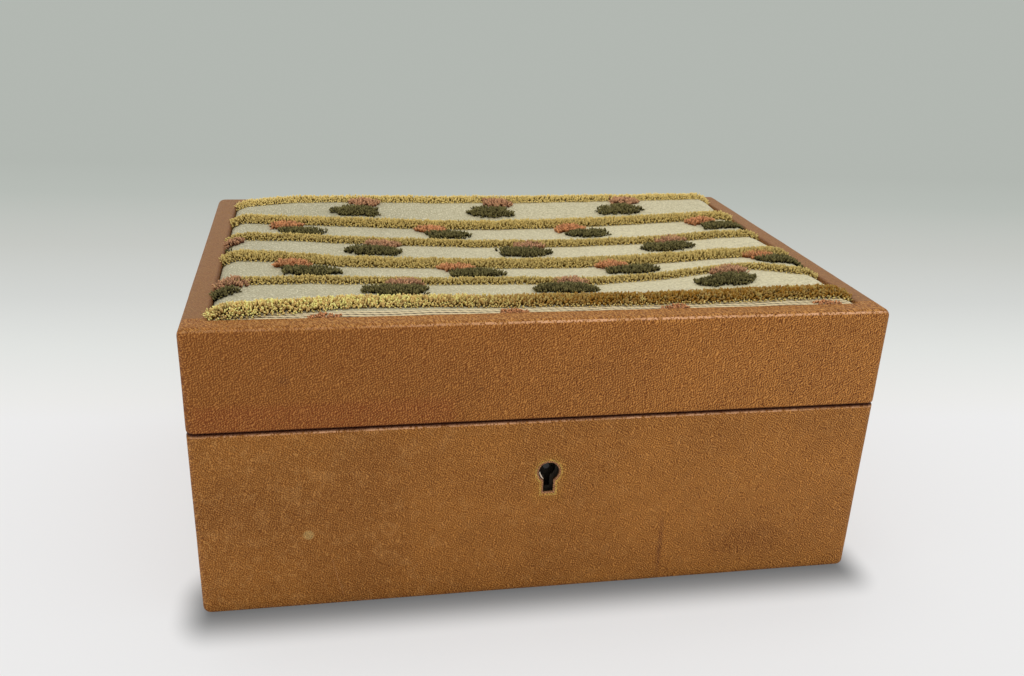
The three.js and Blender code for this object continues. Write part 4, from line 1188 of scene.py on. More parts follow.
def strand_points(roots, directions, lengths, radii, rng):
    """Rings round each strand and its tip, as one row of points for each strand."""
    count = len(roots)
    side, other = across_of(directions)
    bend = rng.normal(0, STRAND_BEND, (2, count, 1))
    spin = rng.uniform(0, 2 * math.pi, count)
    turn = spin[:, None] + np.arange(STRAND_SIDES) * 2 * math.pi / STRAND_SIDES
    spoke = np.cos(turn)[..., None] * side[:, None] + np.sin(turn)[..., None] * other[:, None]
    columns = []
    for share, fatness in (*zip(STRAND_SHARES, STRAND_FATNESS), (1, 0)):
        lean = (bend[0] * side + bend[1] * other) * share**2
        centre = roots + (directions * share + lean) * lengths[:, None]
        ring = centre[:, None] + spoke * (radii * fatness)[:, None, None]
        columns.append(ring if fatness else centre[:, None])
    return np.concatenate(columns, axis=1)


def strand_faces(count):
    """Faces of that many strands: a base, bands of quads and a pointed tip."""
    rings, sides = len(STRAND_SHARES), STRAND_SIDES
    block = rings * sides + 1
    last = (rings - 1) * sides
    template = [list(range(sides - 1, -1, -1))]
    template += grid_faces(rings, sides, wrap_columns=True).tolist()
    template += [[last + k, last + (k + 1) % sides, block - 1] for k in range(sides)]
    return [[v + n * block for v in face] for n in range(count) for face in template]


def make_pile(name, tufts, material, seed, fatness=1.0):
    """A piece of cut pile, each strand closed and on its own."""
    rng = np.random.default_rng(seed)
    roots, directions, lengths, tone, foot = split_into_strands(tufts, rng)
    radius = millimetres(sizes().strand_radius) * fatness
    radii = radius * rng.uniform(*STRAND_FATNESS_RANGE, len(roots))
    points = strand_points(roots, directions, lengths, radii, rng)
    mesh = new_mesh(name, points.reshape(-1, 3), strand_faces(len(roots)), material)
    rise = np.append(np.repeat(STRAND_SHARES, STRAND_SIDES), 1.0)
    labels = {
        "rise": np.tile(rise, len(roots)),
        "tone": np.repeat(tone, len(rise)),
        "foot": np.repeat(foot, len(rise)),
    }
    for label, values in labels.items():
        mesh.attributes.new(label, "FLOAT", "POINT").data.foreach_set("value", values.astype(np.float32))
    return settle(add_object(name, mesh), "lid", "brocade")


def ground_normals(x, y):
    step = 0.5
    slope_x = (panel_height(x + step, y) - panel_height(x - step, y)) / (2 * step)
    slope_y = (panel_height(x, y + step) - panel_height(x, y - step)) / (2 * step)
    return np.column_stack([-slope_x, -slope_y, np.ones(len(x))])


def plant(x, y, lean_x, lean_y, lengths, foot):
    """Tufts that stand on the ground at x and y, leaning by that much and outwards at both ends."""
    margin, end_reach, end_lean = 0.25, 4, 0.5
    x = np.clip(x, -PANEL_WIDTH / 2 + margin, PANEL_WIDTH / 2 - margin)
    y = np.clip(y, PANEL_FRONT + margin, -PANEL_FRONT - margin)
    directions = ground_normals(x, y)
    end = ease((abs(x) - PANEL_WIDTH / 2 + end_reach) / end_reach)
    directions[:, 0] += lean_x + end_lean * np.sign(x) * end
    directions[:, 1] += lean_y
    roots = np.column_stack([x, y, ground_height(x, y) - TUFT_SINK])
    return Tufts(roots, directions, lengths, foot)


def stripe_tufts(stripe, has_foot, rng):
    """Rows of tufts in a dome across the stripe, with an open row of low ones along its foot."""
    pitch, row_pitch = millimetres(sizes().yarn_pitch), millimetres(sizes().row_pitch)
    end_gap, foot_jitter, jitter = 0.4, 0.08, 0.2
    side_gap, dome_depth, dome_power, dome_lean = 0.5, 0.6, 2.4, 0.75
    shortest, longest, jitter_across, jitter_x, jitter_y = 0.88, 1.06, 0.25, 0.14, 0.12
    row_count = round(stripe.width / row_pitch)
    along = np.arange(-PANEL_WIDTH / 2 + end_gap, PANEL_WIDTH / 2 - end_gap, pitch)
    xs, shares, foot = [], [], []
    for row, share in enumerate(np.linspace(-1, 1, row_count)):
        is_foot = row == 0 and has_foot
        places = along[::2] if is_foot else along
        loose = foot_jitter if is_foot else jitter
        xs.append(places + pitch / 2 * (row % 2) + rng.normal(0, pitch * loose, len(places)))
        shares.append(share + rng.normal(0, jitter_across * loose, len(places)))
        foot.append(np.full(len(places), float(is_foot)))
    x, share, foot = (np.concatenate(values) for values in (xs, shares, foot))
    y = stripe.middle_at(x) + share * (stripe.width / 2 - side_gap)
    dome = 1 - dome_depth * np.minimum(abs(share), 1) ** dome_power
    lengths = stripe.height * dome * rng.uniform(shortest, longest, len(x))
    lean_y = dome_lean * share + rng.normal(0, jitter_y, len(x))
    return plant(x, y, rng.normal(0, jitter_x, len(x)), lean_y, lengths, foot)


class Clump(NamedTuple):
    """One leaf or bud of a sprig: its kind, its middle and half its size."""

    kind: str
    x: float
    y: float
    reach_x: float
    reach_y: float

    def holds(self, x, y, share):
        return np.hypot((x - self.x) / self.reach_x, (y - self.y) / self.reach_y) < share


class SprigRow(NamedTuple):
    """A row of sprigs: its y, the x of its middle one, how many pitches off they stand, and their kind."""

    y: float
    middle_x: float
    steps: range
    bud: str
    leaf_reach: tuple


SPRIG_PITCH = 58.3
LEFT_END_STEP = -2
LEFT_END_LEAF_SHARE = 0.66
SPRIG_ROWS = (
    SprigRow(54.5, 1.4, range(-1, 2), "mauve", (9.4, 4.4)),
    SprigRow(25.0, -20.6, range(-1, 3), "coral", (8.4, 3.9)),
    SprigRow(0.0, 5.6, range(LEFT_END_STEP, 2), "mauve", (9.8, 4.6)),
    SprigRow(-28.5, -17.4, range(-1, 3), "coral", (9.2, 4.2)),
    SprigRow(-50.5, 10.2, range(LEFT_END_STEP, 2), "mauve", (10.4, 4.8)),
)
BUD_OFFSETS = {"mauve": (4.2, 9.0), "coral": (-6.2, 7.4)}
BUD_REACH = (5.6, 4.2)
FRONT_BUDS_Y = -73.2
FRONT_BUD_REACH = (4.4, 1.6)
FRONT_BUDS_X = (-71.5, -12.5, 42.0, 96.0)
LEAF_PITCH_SHARE = 1.06
BUD_PITCH_SHARE = 0.98
CLUMP_ROW_SHARE = 0.87
CLUMP_JITTER = 0.2
CLUMP_LOBES = ((5, 0.1), (3, 0.08))
CLUMP_SQUARENESS = 2.6
CLUMP_RIM = 1.06
CLUMP_RAGGED_FROM = 0.7
CLUMP_RAGGED_REACH = 0.36
CLUMP_RAGGEDNESS = 0.6
CLUMP_DOME = 0.3
CLUMP_LEAN = (0.45, 0.35)
CLUMP_LEAN_JITTER = 0.18
BUD_GAPPINESS = 0.2
FRONT_BUD_HEIGHT_SHARE = 0.5
EDGE_GAP = 0.3


def sprig_clumps():
    """Every leaf and bud on the panel, from the back row of sprigs to the front one."""
    clumps = []
    for row in SPRIG_ROWS:
        offset_x, offset_y = BUD_OFFSETS[row.bud]
        for step in row.steps:
            x = row.middle_x + step * SPRIG_PITCH
            share = LEFT_END_LEAF_SHARE if step == LEFT_END_STEP else 1
            reach_x, reach_y = row.leaf_reach
            clumps.append(Clump("leaf", x, row.y, reach_x * share, reach_y * share))
            clumps.append(Clump(row.bud, x + offset_x, row.y + offset_y, *BUD_REACH))
    clumps += [Clump("coral", x, FRONT_BUDS_Y, *FRONT_BUD_REACH) for x in FRONT_BUDS_X]
    return clumps


def clump_tufts(clump, height, rng):
    """Tufts that fill one clump with a ragged outline and lean out of its middle."""
    is_leaf, is_flat = clump.kind == "leaf", clump.y == FRONT_BUDS_Y
    pitch = millimetres(sizes().yarn_pitch) * (LEAF_PITCH_SHARE if is_leaf else BUD_PITCH_SHARE)
    xs = np.arange(-clump.reach_x, clump.reach_x + pitch, pitch)
    ys = np.arange(-clump.reach_y, clump.reach_y + pitch, pitch * CLUMP_ROW_SHARE)
    x, y = (values.ravel() for values in np.meshgrid(xs, ys))
    x = x + rng.normal(0, pitch * CLUMP_JITTER, x.size)
    y = y + rng.normal(0, pitch * CLUMP_JITTER, y.size)
    u, v = x / clump.reach_x, y / clump.reach_y
    turn = np.arctan2(v, u)
    lobes = np.ones(x.size)
    for count, depth in CLUMP_LOBES:
        lobes += depth * np.sin(count * turn + rng.uniform(0, 6))
    squared = abs(u) ** CLUMP_SQUARENESS + abs(v) ** CLUMP_SQUARENESS
    distance = squared ** (1 / CLUMP_SQUARENESS) / lobes
    outer_share = ease((distance - CLUMP_RAGGED_FROM) / CLUMP_RAGGED_REACH)
    ragged = CLUMP_RAGGEDNESS * outer_share * ease(abs(v) * 2.5)
    gappiness = 0 if is_leaf or is_flat else BUD_GAPPINESS
    keep = (distance < CLUMP_RIM) & (abs(clump.x + x) < PANEL_WIDTH / 2 - EDGE_GAP)
    keep &= abs(clump.y + y) < PANEL_DEPTH / 2 - EDGE_GAP
    keep &= rng.random(len(x)) > ragged + gappiness
    x, y, u, v, distance = (values[keep] for values in (x, y, u, v, distance))
    lengths = height * (1.05 - CLUMP_DOME * distance**2) * rng.uniform(0.8, 1.1, len(x))
    lengths *= FRONT_BUD_HEIGHT_SHARE if is_flat else 1.0
    lean_x = CLUMP_LEAN[0] * u + rng.normal(0, CLUMP_LEAN_JITTER, len(x))
    lean_y = CLUMP_LEAN[1] * v + rng.normal(0, CLUMP_LEAN_JITTER, len(x))
    return plant(x + clump.x, y + clump.y, lean_x, lean_y, lengths, np.zeros(len(x)))


def held_by(clumps, tufts, share):
    """Whether each tuft stands inside any of the clumps, each taken at that share of its size."""
    x, y = tufts.roots[:, 0], tufts.roots[:, 1]
    return np.any([clump.holds(x, y, share) for clump in clumps], axis=0)


def make_stripes():
    """The gold stripes, left open where a bud's own pile takes their place."""
    c = colours()
    # The front stripe's strong contrast is partly painted highlight on its loops.
    front_pile = pile_material("front_gold_pile", c.gold_front, srgb(108, 72, 6), 1.0, 0, brown_stretches)
    back_pile = pile_material("gold_pile", c.gold, c.gold_root_shade, 0.5, 0.6)
    # The rear stripe's lighter copy of the gold is painted light.
    lit_rear_pile = pile_material("lit_rear_gold_pile", srgb(224, 202, 130), srgb(136, 106, 44), 0.5, 0.6)
    buds = [clump for clump in sprig_clumps() if clump.kind != "leaf"]
    last = len(STRIPES) - 1
    for k, stripe in enumerate(STRIPES):
        rng = np.random.default_rng(sizes().seed + 20 + k)
        tufts = stripe_tufts(stripe, k < last, rng)
        hidden = held_by(buds, tufts, 0.9) & (rng.random(len(tufts.roots)) > 0.55)
        material = {0: front_pile, last: lit_rear_pile}.get(k, back_pile)
        fatness = 1.0 if k == 0 else 0.88
        make_pile(f"pile_stripe_{k + 1}", tufts.kept(~hidden), material, sizes().seed + 40 + k, fatness)


class PileKind(NamedTuple):
    """One kind of clump's pile: the colours of its tips and of the painted shade at its roots, its height,
    contrast and fatness.
    """

    tip: tuple
    root: tuple
    height: float
    contrast: float
    fatness: float


def make_sprigs():
    """The leaf clumps and the mauve and coral buds."""
    c = colours()
    rng = np.random.default_rng(sizes().seed + 3)
    # Each kind's root colour is painted shade deep in the pile.
    kinds = {
        "leaf": PileKind(c.leaf, srgb(14, 12, 2), 2.5, 1.2, 0.8),
        "mauve": PileKind(c.mauve, srgb(114, 70, 52), 2.7, 0.9, 0.9),
        "coral": PileKind(c.coral, srgb(142, 82, 44), 2.7, 0.9, 0.9),
    }
    clumps = sprig_clumps()
    buds = [clump for clump in clumps if clump.kind != "leaf"]
    for n, (name, kind) in enumerate(kinds.items()):
        parts = [clump_tufts(clump, kind.height, rng) for clump in clumps if clump.kind == name]
        tufts = Tufts(*(np.concatenate(values) for values in zip(*parts)))
        if name == "leaf":
            tufts = tufts.kept(~held_by(buds, tufts, 0.8))
        material = pile_material(f"{name}_pile", kind.tip, kind.root, kind.contrast)
        make_pile(f"{name}_sprigs", tufts, material, sizes().seed + 70 + n, kind.fatness)


# Wood, linings, tray and hardware


def wood_material():
    """Planed softwood with its grain along X, painted near black as shade behind the keyhole."""
    s = Shade("planed_pine")
    rings = (s.y * 1.3 + s.z * 1.9 + s.noise(30, 2, 0.5, s.stretched(0.1, 1, 1)) * 9).sine()
    fibre = s.noise(0.8, 3, 0.6, s.stretched(0.05, 1, 1))
    colour = s.mix(rings.ramp(-0.2, 0.95) * 0.6, srgb(214, 178, 122), srgb(176, 128, 74))
    colour = s.mix(fibre.ramp(0.45, 0.7) * 0.3, colour, srgb(140, 96, 54))
    # Painted shade: the wood round the keyhole inside the front is painted near black.
    painted_hole_shade = (1 - keyhole_distance(s.x, s.z).ramp(1.2, 2.5)) * (1 - s.y.ramp(FRONT_Y + 8, FRONT_Y + 9))
    colour = s.mix(painted_hole_shade * 0.97, colour, srgb(18, 12, 8))
    return s.finish(colour, 0.6 + fibre * 0.2, s.bump(fibre, 0.1, 0.6))


def cloth_material(name, colour, shade, pitch, depth, roughness, sheen):
    """Velvet, satin or baize: a soft nap with a fine weave below it."""
    s = Shade(name)
    nap = s.noise(9, 3, 0.6, distortion=0.8)
    weave = wave(s.x, pitch) * wave(s.y, pitch)
    fuzz = s.noise(0.35, 3, 0.7)
    tint = s.mix(nap.ramp(0.35, 0.7) * 0.6, colour, shade)
    tint = s.mix(fuzz.ramp(0.5, 0.8) * 0.3, tint, shade)
    height = fuzz * 0.8 + weave * 0.2
    return s.finish(tint, roughness + fuzz * 0.1, s.bump(height, depth, 0.7), sheen_weight=sheen)


def velvet_material():
    return cloth_material("wine_velvet", colours().velvet, srgb(66, 14, 24), 0.5, 0.12, 0.8, 0.5)


def satin_material():
    return cloth_material("lining_satin", colours().satin, srgb(188, 167, 122), 0.35, 0.03, 0.38, 0.2)


def with_keyhole_shade(s, colour):
    """A metal's colour, painted near black as shade behind the keyhole, and the mask of that painted shade.
    """
    painted_keyhole_shade = (1 - keyhole_distance(s.x, s.z).ramp(3, 7)) * (1 - s.y.ramp(FRONT_Y + 8, FRONT_Y + 8.4))
    return s.mix(painted_keyhole_shade * 0.97, colour, srgb(16, 12, 8)), painted_keyhole_shade


def brass_material():
    """Aged brass: brushed along X, browner in patches."""
    s = Shade("aged_brass")
    brush = s.noise(0.4, 3, 0.65, s.stretched(0.06, 1, 1))
    patina = s.noise(4, 3, 0.6)
    colour = s.mix(patina.ramp(0.45, 0.75) * 0.7, colours().brass, srgb(112, 78, 38))
    # The brass behind the keyhole is painted near black as shade.
    colour, painted_keyhole_shade = with_keyhole_shade(s, colour)
    roughness = 0.26 + patina.ramp(0.4, 0.8) * 0.3 + brush * 0.1 + painted_keyhole_shade * 0.4
    return s.finish(colour, roughness, s.bump(brush, 0.02, 0.6), metallic=1 - painted_keyhole_shade)


def steel_material():
    """Drawn steel: brushed along X, with a little rust."""
    s = Shade("drawn_steel")
    brush = s.noise(0.3, 3, 0.65, s.stretched(0.08, 1, 1))
    rust = s.noise(2.5, 3, 0.6).ramp(0.58, 0.75)
    # The steel behind the keyhole is painted near black as shade.
    colour, painted_keyhole_shade = with_keyhole_shade(s, s.mix(rust * 0.6, srgb(150, 148, 144), srgb(96, 66, 44)))
    return s.finish(colour, 0.34 + rust * 0.3, s.bump(brush, 0.02, 0.5), metallic=1 - painted_keyhole_shade)


def card_material():
    s = Shade("grey_board")
    fleck = s.noise(0.7, 3, 0.7)
    colour = s.mix(fleck.ramp(0.4, 0.7) * 0.5, srgb(150, 140, 116), srgb(108, 98, 78))
    return s.finish(colour, 0.9, s.bump(fleck, 0.05, 0.5))


def baize_material():
    return cloth_material("green_baize", srgb(62, 76, 52), srgb(38, 48, 32), 0.6, 0.15, 0.9, 0.3)


BOARD_CELL = 5.0
BOARD_RADIUS = 0.6
BOARD_DIP = 0.12
BOARD_DIP_SIZE = 9
PAD_CELL = 2.6
PAD_ROUNDING = 7.0
PAD_EDGE_SHARE = 0.5
PAD_CROWN_SHARE = 0.36
PAD_PUFF = 0.8
PAD_WAVE = 0.1
PAD_WAVE_SIZE = 14
PAD_FREE_SHARE = 0.3
CLOTH_PRESSURE = 4
CLOTH_SHRINK = -0.03
PUFF_STEPS = 20
TINY = 1e-9


def axis_lines(low, high, radius, spacing):
    """Grid lines along one axis of a rounded block: close in its roundings, even between."""
    round_shares = [0, 0.1, 0.3, 0.6, 1]
    near = [low + radius * share for share in round_shares]
    far = [high - radius * share for share in reversed(round_shares)]
    gap = far[0] - near[-1]
    between = np.linspace(near[-1], far[0], max(2, math.ceil(gap / spacing) + 1))[1:-1]
    return np.array([*near, *between, *far])


def rounded_block(name, low, high, radius, material, dip, seed):
    """A block with rounded edges, whose faces dip by up to that much here and there."""
    lines = [axis_lines(low[a], high[a], radius, BOARD_CELL) for a in range(3)]
    points, faces = [], []
    for axis in range(3):
        u, v = (a for a in range(3) if a != axis)
        for level in (low[axis], high[axis]):
            grid_u, grid_v = np.meshgrid(lines[u], lines[v])
            sheet = np.empty((grid_u.size, 3))
            sheet[:, axis] = level
            sheet[:, u], sheet[:, v] = grid_u.ravel(), grid_v.ravel()
            start = sum(len(p) for p in points)
            faces += grid_faces(len(lines[v]), len(lines[u]), start).tolist()
            points.append(sheet)
    points = np.vstack(points)
    core = np.clip(points, low + radius, high - radius)
    out = points - core
    points = core + out / np.maximum(np.linalg.norm(out, axis=1), TINY)[:, None] * radius
    piece = make_piece(name, points, faces, material)
    with edited(piece.data) as work:
        bmesh.ops.remove_doubles(work, verts=work.verts, dist=radius * MM * 0.01)
        bmesh.ops.recalc_face_normals(work, faces=work.faces)
    shape = mesh_points(piece.data)
    lift = (swell(shape, BOARD_DIP_SIZE, seed) - 1) * dip / 2
    set_mesh_points(piece.data, shape + mesh_normals(piece.data) * lift[:, None])
    return piece


def cover_board(node, body, slot, material, name, seed):
    """A cloth-covered board in place of a frame node's plain one."""
    low, high = node_box(node)
    radius = min(BOARD_RADIUS, 0.45 * min(high - low))
    piece = rounded_block(name, low, high, radius, material, BOARD_DIP, seed)
    return settle(piece, body, slot, node)


def soft_pad(name, node, body, slot, material, crown_up, seed):
    """A padded cushion: a crowned form, puffed up as cloth over its filling."""
    low, high = node_box(node)
    size = high - low
    count_x, count_y = (int(size[a] / PAD_CELL) + 1 for a in (0, 1))
    xs, ys = np.linspace(low[0], high[0], count_x), np.linspace(low[1], high[1], count_y)
    x, y = (values.ravel() for values in np.meshgrid(xs, ys))
    inside = np.minimum(np.minimum(x - low[0], high[0] - x), np.minimum(y - low[1], high[1] - y))
    rise = np.sqrt(np.clip(inside / PAD_ROUNDING, 0, 1))
    thickness = size[2] * (PAD_EDGE_SHARE + PAD_CROWN_SHARE * rise)
    flat, free = (low[2], 1) if crown_up else (high[2], -1)
    top = np.column_stack([x, y, flat + free * thickness])
    bottom = np.column_stack([x, y, np.full(len(x), flat)])
    piece = make_piece(name, np.vstack([top, bottom]), two_sided_faces(count_y, count_x), material)
    pinned = [*range(len(top), 2 * len(top)), *rim_indices(count_y, count_x)]
    billow(piece, pinned, PAD_PUFF)
    shape = mesh_points(piece.data)
    lift = swell(shape, PAD_WAVE_SIZE, seed) * PAD_WAVE
    free_side = abs(shape[:, 2] - flat) > size[2] * PAD_FREE_SHARE
    shape[free_side, 2] += (free * lift)[free_side]
    set_mesh_points(piece.data, np.clip(shape, low, high))
    smooth_once(piece)
    return settle(piece, body, slot, node)


def billow(piece, pinned, cap):
    """Puffs a closed mesh up as cloth under pressure, moving no point further than cap."""
    start = mesh_points(piece.data)
    group = piece.vertex_groups.new(name="seam")
    group.add([int(v) for v in pinned], 1.0, "REPLACE")
    cloth = piece.modifiers.new("cloth", "CLOTH")
    cloth.settings.vertex_group_mass = "seam"
    cloth.settings.use_pressure = True
    cloth.settings.uniform_pressure_force = CLOTH_PRESSURE
    cloth.settings.effector_weights.gravity = 0
    cloth.settings.shrink_min = CLOTH_SHRINK
    scene = bpy.context.scene
    for step in range(1, PUFF_STEPS + 1):
        scene.frame_set(step)
    apply_modifiers(piece)
    scene.frame_set(1)
    moved = mesh_points(piece.data) - start
    length = np.maximum(np.linalg.norm(moved, axis=1), TINY)
    set_mesh_points(piece.data, start + moved * np.minimum(1, cap / length)[:, None])
    piece.vertex_groups.clear()


def smooth_once(piece):
    modifier = piece.modifiers.new("smooth", "SUBSURF")
    modifier.levels = 1
    modifier.render_levels = 1
    apply_modifiers(piece)


ROLL_CELL = 2.4
ROLL_ARC_POINTS = 14
ROLL_WIDTH_SHARE = 0.97
ROLL_FOOT_SHARE = 0.94
ROLL_EDGE_SHARE = 0.27
ROLL_TOP_SHARE = 0.94
ROLL_TUCK_REACH = 5.0
ROLL_TUCKED_SHARE = 0.25
ROLL_FLATNESS = 0.8
ROLL_PUFF = 0.5


def make_ring_roll(index, material):
    """One of the velvet rolls that hold rings between them: a half round cushion with tucked ends."""
    node = f"ring_roll_{index}"
    low, high = node_box(node)
    length, width, height = high - low
    middle_y = (low[1] + high[1]) / 2
    foot_y = middle_y + width / 2 * ROLL_FOOT_SHARE * np.array([-1, 1])
    turn = np.linspace(0, math.pi, ROLL_ARC_POINTS)
    arc_y = middle_y + width / 2 * ROLL_WIDTH_SHARE * np.cos(turn)
    edge, crown = height * ROLL_EDGE_SHARE, height * (ROLL_TOP_SHARE - ROLL_EDGE_SHARE)
    rings = []
    for x in np.linspace(low[0], high[0], int(length / ROLL_CELL)):
        inside = min(x - low[0], high[0] - x)
        full = math.sqrt(max(0.0, 1 - (1 - min(1, inside / ROLL_TUCK_REACH)) ** 2))
        rise = ROLL_TUCKED_SHARE + (1 - ROLL_TUCKED_SHARE) * full
        arc_z = low[2] + edge + crown * np.sin(turn) ** ROLL_FLATNESS * rise
        y, z = np.append(arc_y, foot_y), np.append(arc_z, [low[2], low[2]])
        rings.append(np.column_stack([np.full(len(y), x), y, z]))
    sides = ROLL_ARC_POINTS + len(foot_y)
    piece = make_piece(f"velvet_{node}", np.vstack(rings), tube_faces(len(rings), sides), material)
    pinned = [r * sides + k for r in range(len(rings)) for k in range(ROLL_ARC_POINTS, sides)]
    billow(piece, pinned, ROLL_PUFF)
    set_mesh_points(piece.data, np.clip(mesh_points(piece.data), low, high))
    smooth_once(piece)
    return settle(piece, "tray", "velvet", node)


RIBBON_WIDTH = 10.0
RIBBON_THICK = 0.5
RIBBON_OFF_FLOOR = 0.1
RIBBON_LEG_POINTS = 8
RIBBON_FOLD_POINTS = 13
RIBBON_POINTS_ACROSS = 9


def make_pull_tab(side, material):
    """A folded ribbon that lifts the tray."""
    node = f"tray_pull_tab_{side}"
    low, high = node_box(node)
    middle_x, middle_y = (low + high)[:2] / 2
    width, thick = RIBBON_WIDTH, RIBBON_THICK
    bow = (high[0] - low[0]) / 2 - thick / 2
    foot, top = low[2] + RIBBON_OFF_FLOOR, high[2] - thick / 2 - bow
    fold = np.linspace(math.pi, 0, RIBBON_FOLD_POINTS)
    line = [(middle_x - bow, z) for z in np.linspace(foot, top, RIBBON_LEG_POINTS)[:-1]]
    line += [(middle_x + bow * math.cos(t), top + bow * math.sin(t)) for t in fold]
    line += [(middle_x + bow, z) for z in np.linspace(top, foot, RIBBON_LEG_POINTS)[1:]]
    line = np.array(line)
    step = np.gradient(line, axis=0)
    normal = np.column_stack([-step[:, 1], step[:, 0]]) / np.linalg.norm(step, axis=1)[:, None]
    across = np.linspace(-width / 2, width / 2, RIBBON_POINTS_ACROSS) + middle_y
    faces_of_cloth = []
    for offset in (thick / 2, -thick / 2):
        x, z = np.repeat(line + normal * offset, len(across), axis=0).T
        faces_of_cloth.append(np.column_stack([x, np.tile(across, len(line)), z]))
    faces = two_sided_faces(len(line), len(across))
    piece = make_piece(f"ribbon_tab_{side}", np.vstack(faces_of_cloth), faces, material)
    return settle(piece, "tray", "satin", node)


def rounded_profile(inset_low, inset_high, low, high, radius):
    """A closed profile of a rounded rail, for sweeping."""
    left, right, bottom, top = inset_low + radius, inset_high - radius, low + radius, high - radius
    corners = [((left, bottom), 180), ((right, bottom), 270), ((right, top), 0), ((left, top), 90)]
    return [point for centre, start in corners for point in quarter_arc(centre, radius, start, start + 90, 4)]


TRAY_WALL = 2.5
TRAY_CORNER = 0.3


def make_tray():
    velvet, satin = velvet_material(), satin_material()
    low, high = node_box("tray_frame")
    width, depth = (high - low)[:2]
    profile = rounded_profile(0, TRAY_WALL, low[2], high[2], BOARD_RADIUS)
    rim = swept_ring("tray_velvet_frame", width, depth, TRAY_CORNER, profile, BOARD_CELL, velvet)
    settle(rim, "tray", "velvet", "tray_frame")
    for seed, part in enumerate(("floor", "long_divider", "cross_divider"), 3):
        cover_board(f"tray_{part}", "tray", "velvet", velvet, f"tray_velvet_{part}", seed)
    for index in (1, 2, 3):
        make_ring_roll(index, velvet)
    for side in ("left", "right"):
        make_pull_tab(side, satin)


def make_linings():
    velvet, satin = velvet_material(), satin_material()
    for n, side in enumerate(("front", "back", "left", "right")):
        cover_board(f"base_lining_{side}", "base", "velvet", velvet, f"velvet_lining_{side}", 10 + n)
        cover_board(f"lid_lining_{side}", "lid", "satin", satin, f"satin_lining_{side}", 20 + n)
    for n, side in enumerate(("left", "right")):
        cover_board(f"tray_ledge_{side}", "base", "velvet", velvet, f"velvet_ledge_{side}", 30 + n)
    cover_board("base_underside_sheet", "base", "baize", baize_material(), "baize_sheet", 40)
    soft_pad("velvet_floor_pad", "base_floor_pad", "base", "velvet", velvet, crown_up=True, seed=50)
    soft_pad("satin_lid_pad", "lid_inner_pad", "lid", "satin", satin, crown_up=False, seed=51)


METAL_BEVEL = 0.12
WELD_REACH = 0.0001
FLAT_BELOW = math.radians(1)
ROUND_BELOW = math.radians(32)
BEVEL_ABOVE = math.radians(40)


def polish(node, material, slot, bevel):
    """A finer copy of a metal frame node: round where it turns, and eased along its edges."""
    source = frame["nodes"][node]
    mesh = source.data.copy()
    mesh.name = f"{node}_metal"
    with edited(mesh) as work:
        bmesh.ops.remove_doubles(work, verts=work.verts, dist=WELD_REACH * MM)
        bmesh.ops.dissolve_limit(work, angle_limit=FLAT_BELOW, verts=work.verts, edges=work.edges)
    dress(mesh, material)
    piece = add_object(f"{node}_metal", mesh)
    smooth_faces(mesh)
    mesh.set_sharp_from_angle(angle=ROUND_BELOW)
    if bevel:
        modifier = piece.modifiers.new("ease", "BEVEL")
        modifier.width = METAL_BEVEL * MM
        modifier.segments = 2
        modifier.limit_method = "ANGLE"
        modifier.angle_limit = BEVEL_ABOVE
        modifier.harden_normals = True
        apply_modifiers(piece)
    return settle(piece, source["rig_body"], slot, node)


def make_hardware():
    metals = {"brass": brass_material(), "steel": steel_material()}
    for node in sorted(frame["nodes"]):
        if not node.startswith(("hinge", "lock", "link")):
            continue
        is_steel = node.endswith("_pin") or node == "lock_bolt_spring"
        slot = "steel" if is_steel else "brass"
        polish(node, metals[slot], slot, bevel=not is_steel and "screw" not in node)


def make_carcass():
    wood, card = wood_material(), card_material()
    for name, node in frame["nodes"].items():
        if name.endswith(("_panel", "_board")):
            dress(node.data, wood)
    dress(frame["nodes"]["top_panel_card"].data, card)


# Stage


CAMERA_PLACE = (-72.81, -371.91, 208.24)
CAMERA_YAW = 0.2011
CAMERA_PITCH = 0.4067
CAMERA_ROLL = 0.0412
CAMERA_LENS = 35.487
CAMERA_SHIFT = 0.0421


def make_camera():
    camera = bpy.data.cameras.new("photo_camera")
    camera.lens = CAMERA_LENS
    camera.sensor_width = 36
    camera.shift_y = CAMERA_SHIFT
    camera.clip_start, camera.clip_end = 0.01, 60
    viewer = add_object("photo_camera", camera)
    bpy.context.scene.camera = viewer
    level = math.cos(CAMERA_PITCH)
    ahead = Vector((math.sin(CAMERA_YAW) * level, math.cos(CAMERA_YAW) * level, -math.sin(CAMERA_PITCH)))
    right = Vector((math.cos(CAMERA_YAW), -math.sin(CAMERA_YAW), 0))
    up = right.cross(ahead)
    rolled_right = right * math.cos(CAMERA_ROLL) + up * math.sin(CAMERA_ROLL)
    rolled_up = up * math.cos(CAMERA_ROLL) - right * math.sin(CAMERA_ROLL)
    turn = Matrix((rolled_right, rolled_up, -ahead)).transposed()
    viewer.matrix_world = Matrix.Translation(Vector(CAMERA_PLACE) * MM) @ turn.to_4x4()


BACKDROP_HEADING = math.radians(5.5)
BACKDROP_REACH = 640.0
BACKDROP_GLOW = 0.6
BACKDROP_STOPS = (
    (58, (238, 238, 238)),
    (80, (236, 236, 234)),
    (148, (226, 228, 225)),
    (235, (211, 213, 210)),
    (350, (198, 200, 195)),
    (511, (183, 188, 182)),
    (640, (178, 183, 177)),
)


PAINTED_CONTACT_SHADOW = 0.72
CONTACT_SIDE = (-3, 15)
CONTACT_FRONT = (-1, 21)
CONTACT_BEHIND = (9, 25)
FLOOR_HALF = 30000
WORLD_LIGHT = 0.86
KEY_LIGHT = 0.5
KEY_SPREAD = math.radians(30)
KEY_DIRECTION = (0.1, -0.2, -1)


def past(distance, start_and_reach):
    """How far a distance is past its start, as a share of its reach."""
    start, reach = start_and_reach
    return (distance - start) / reach


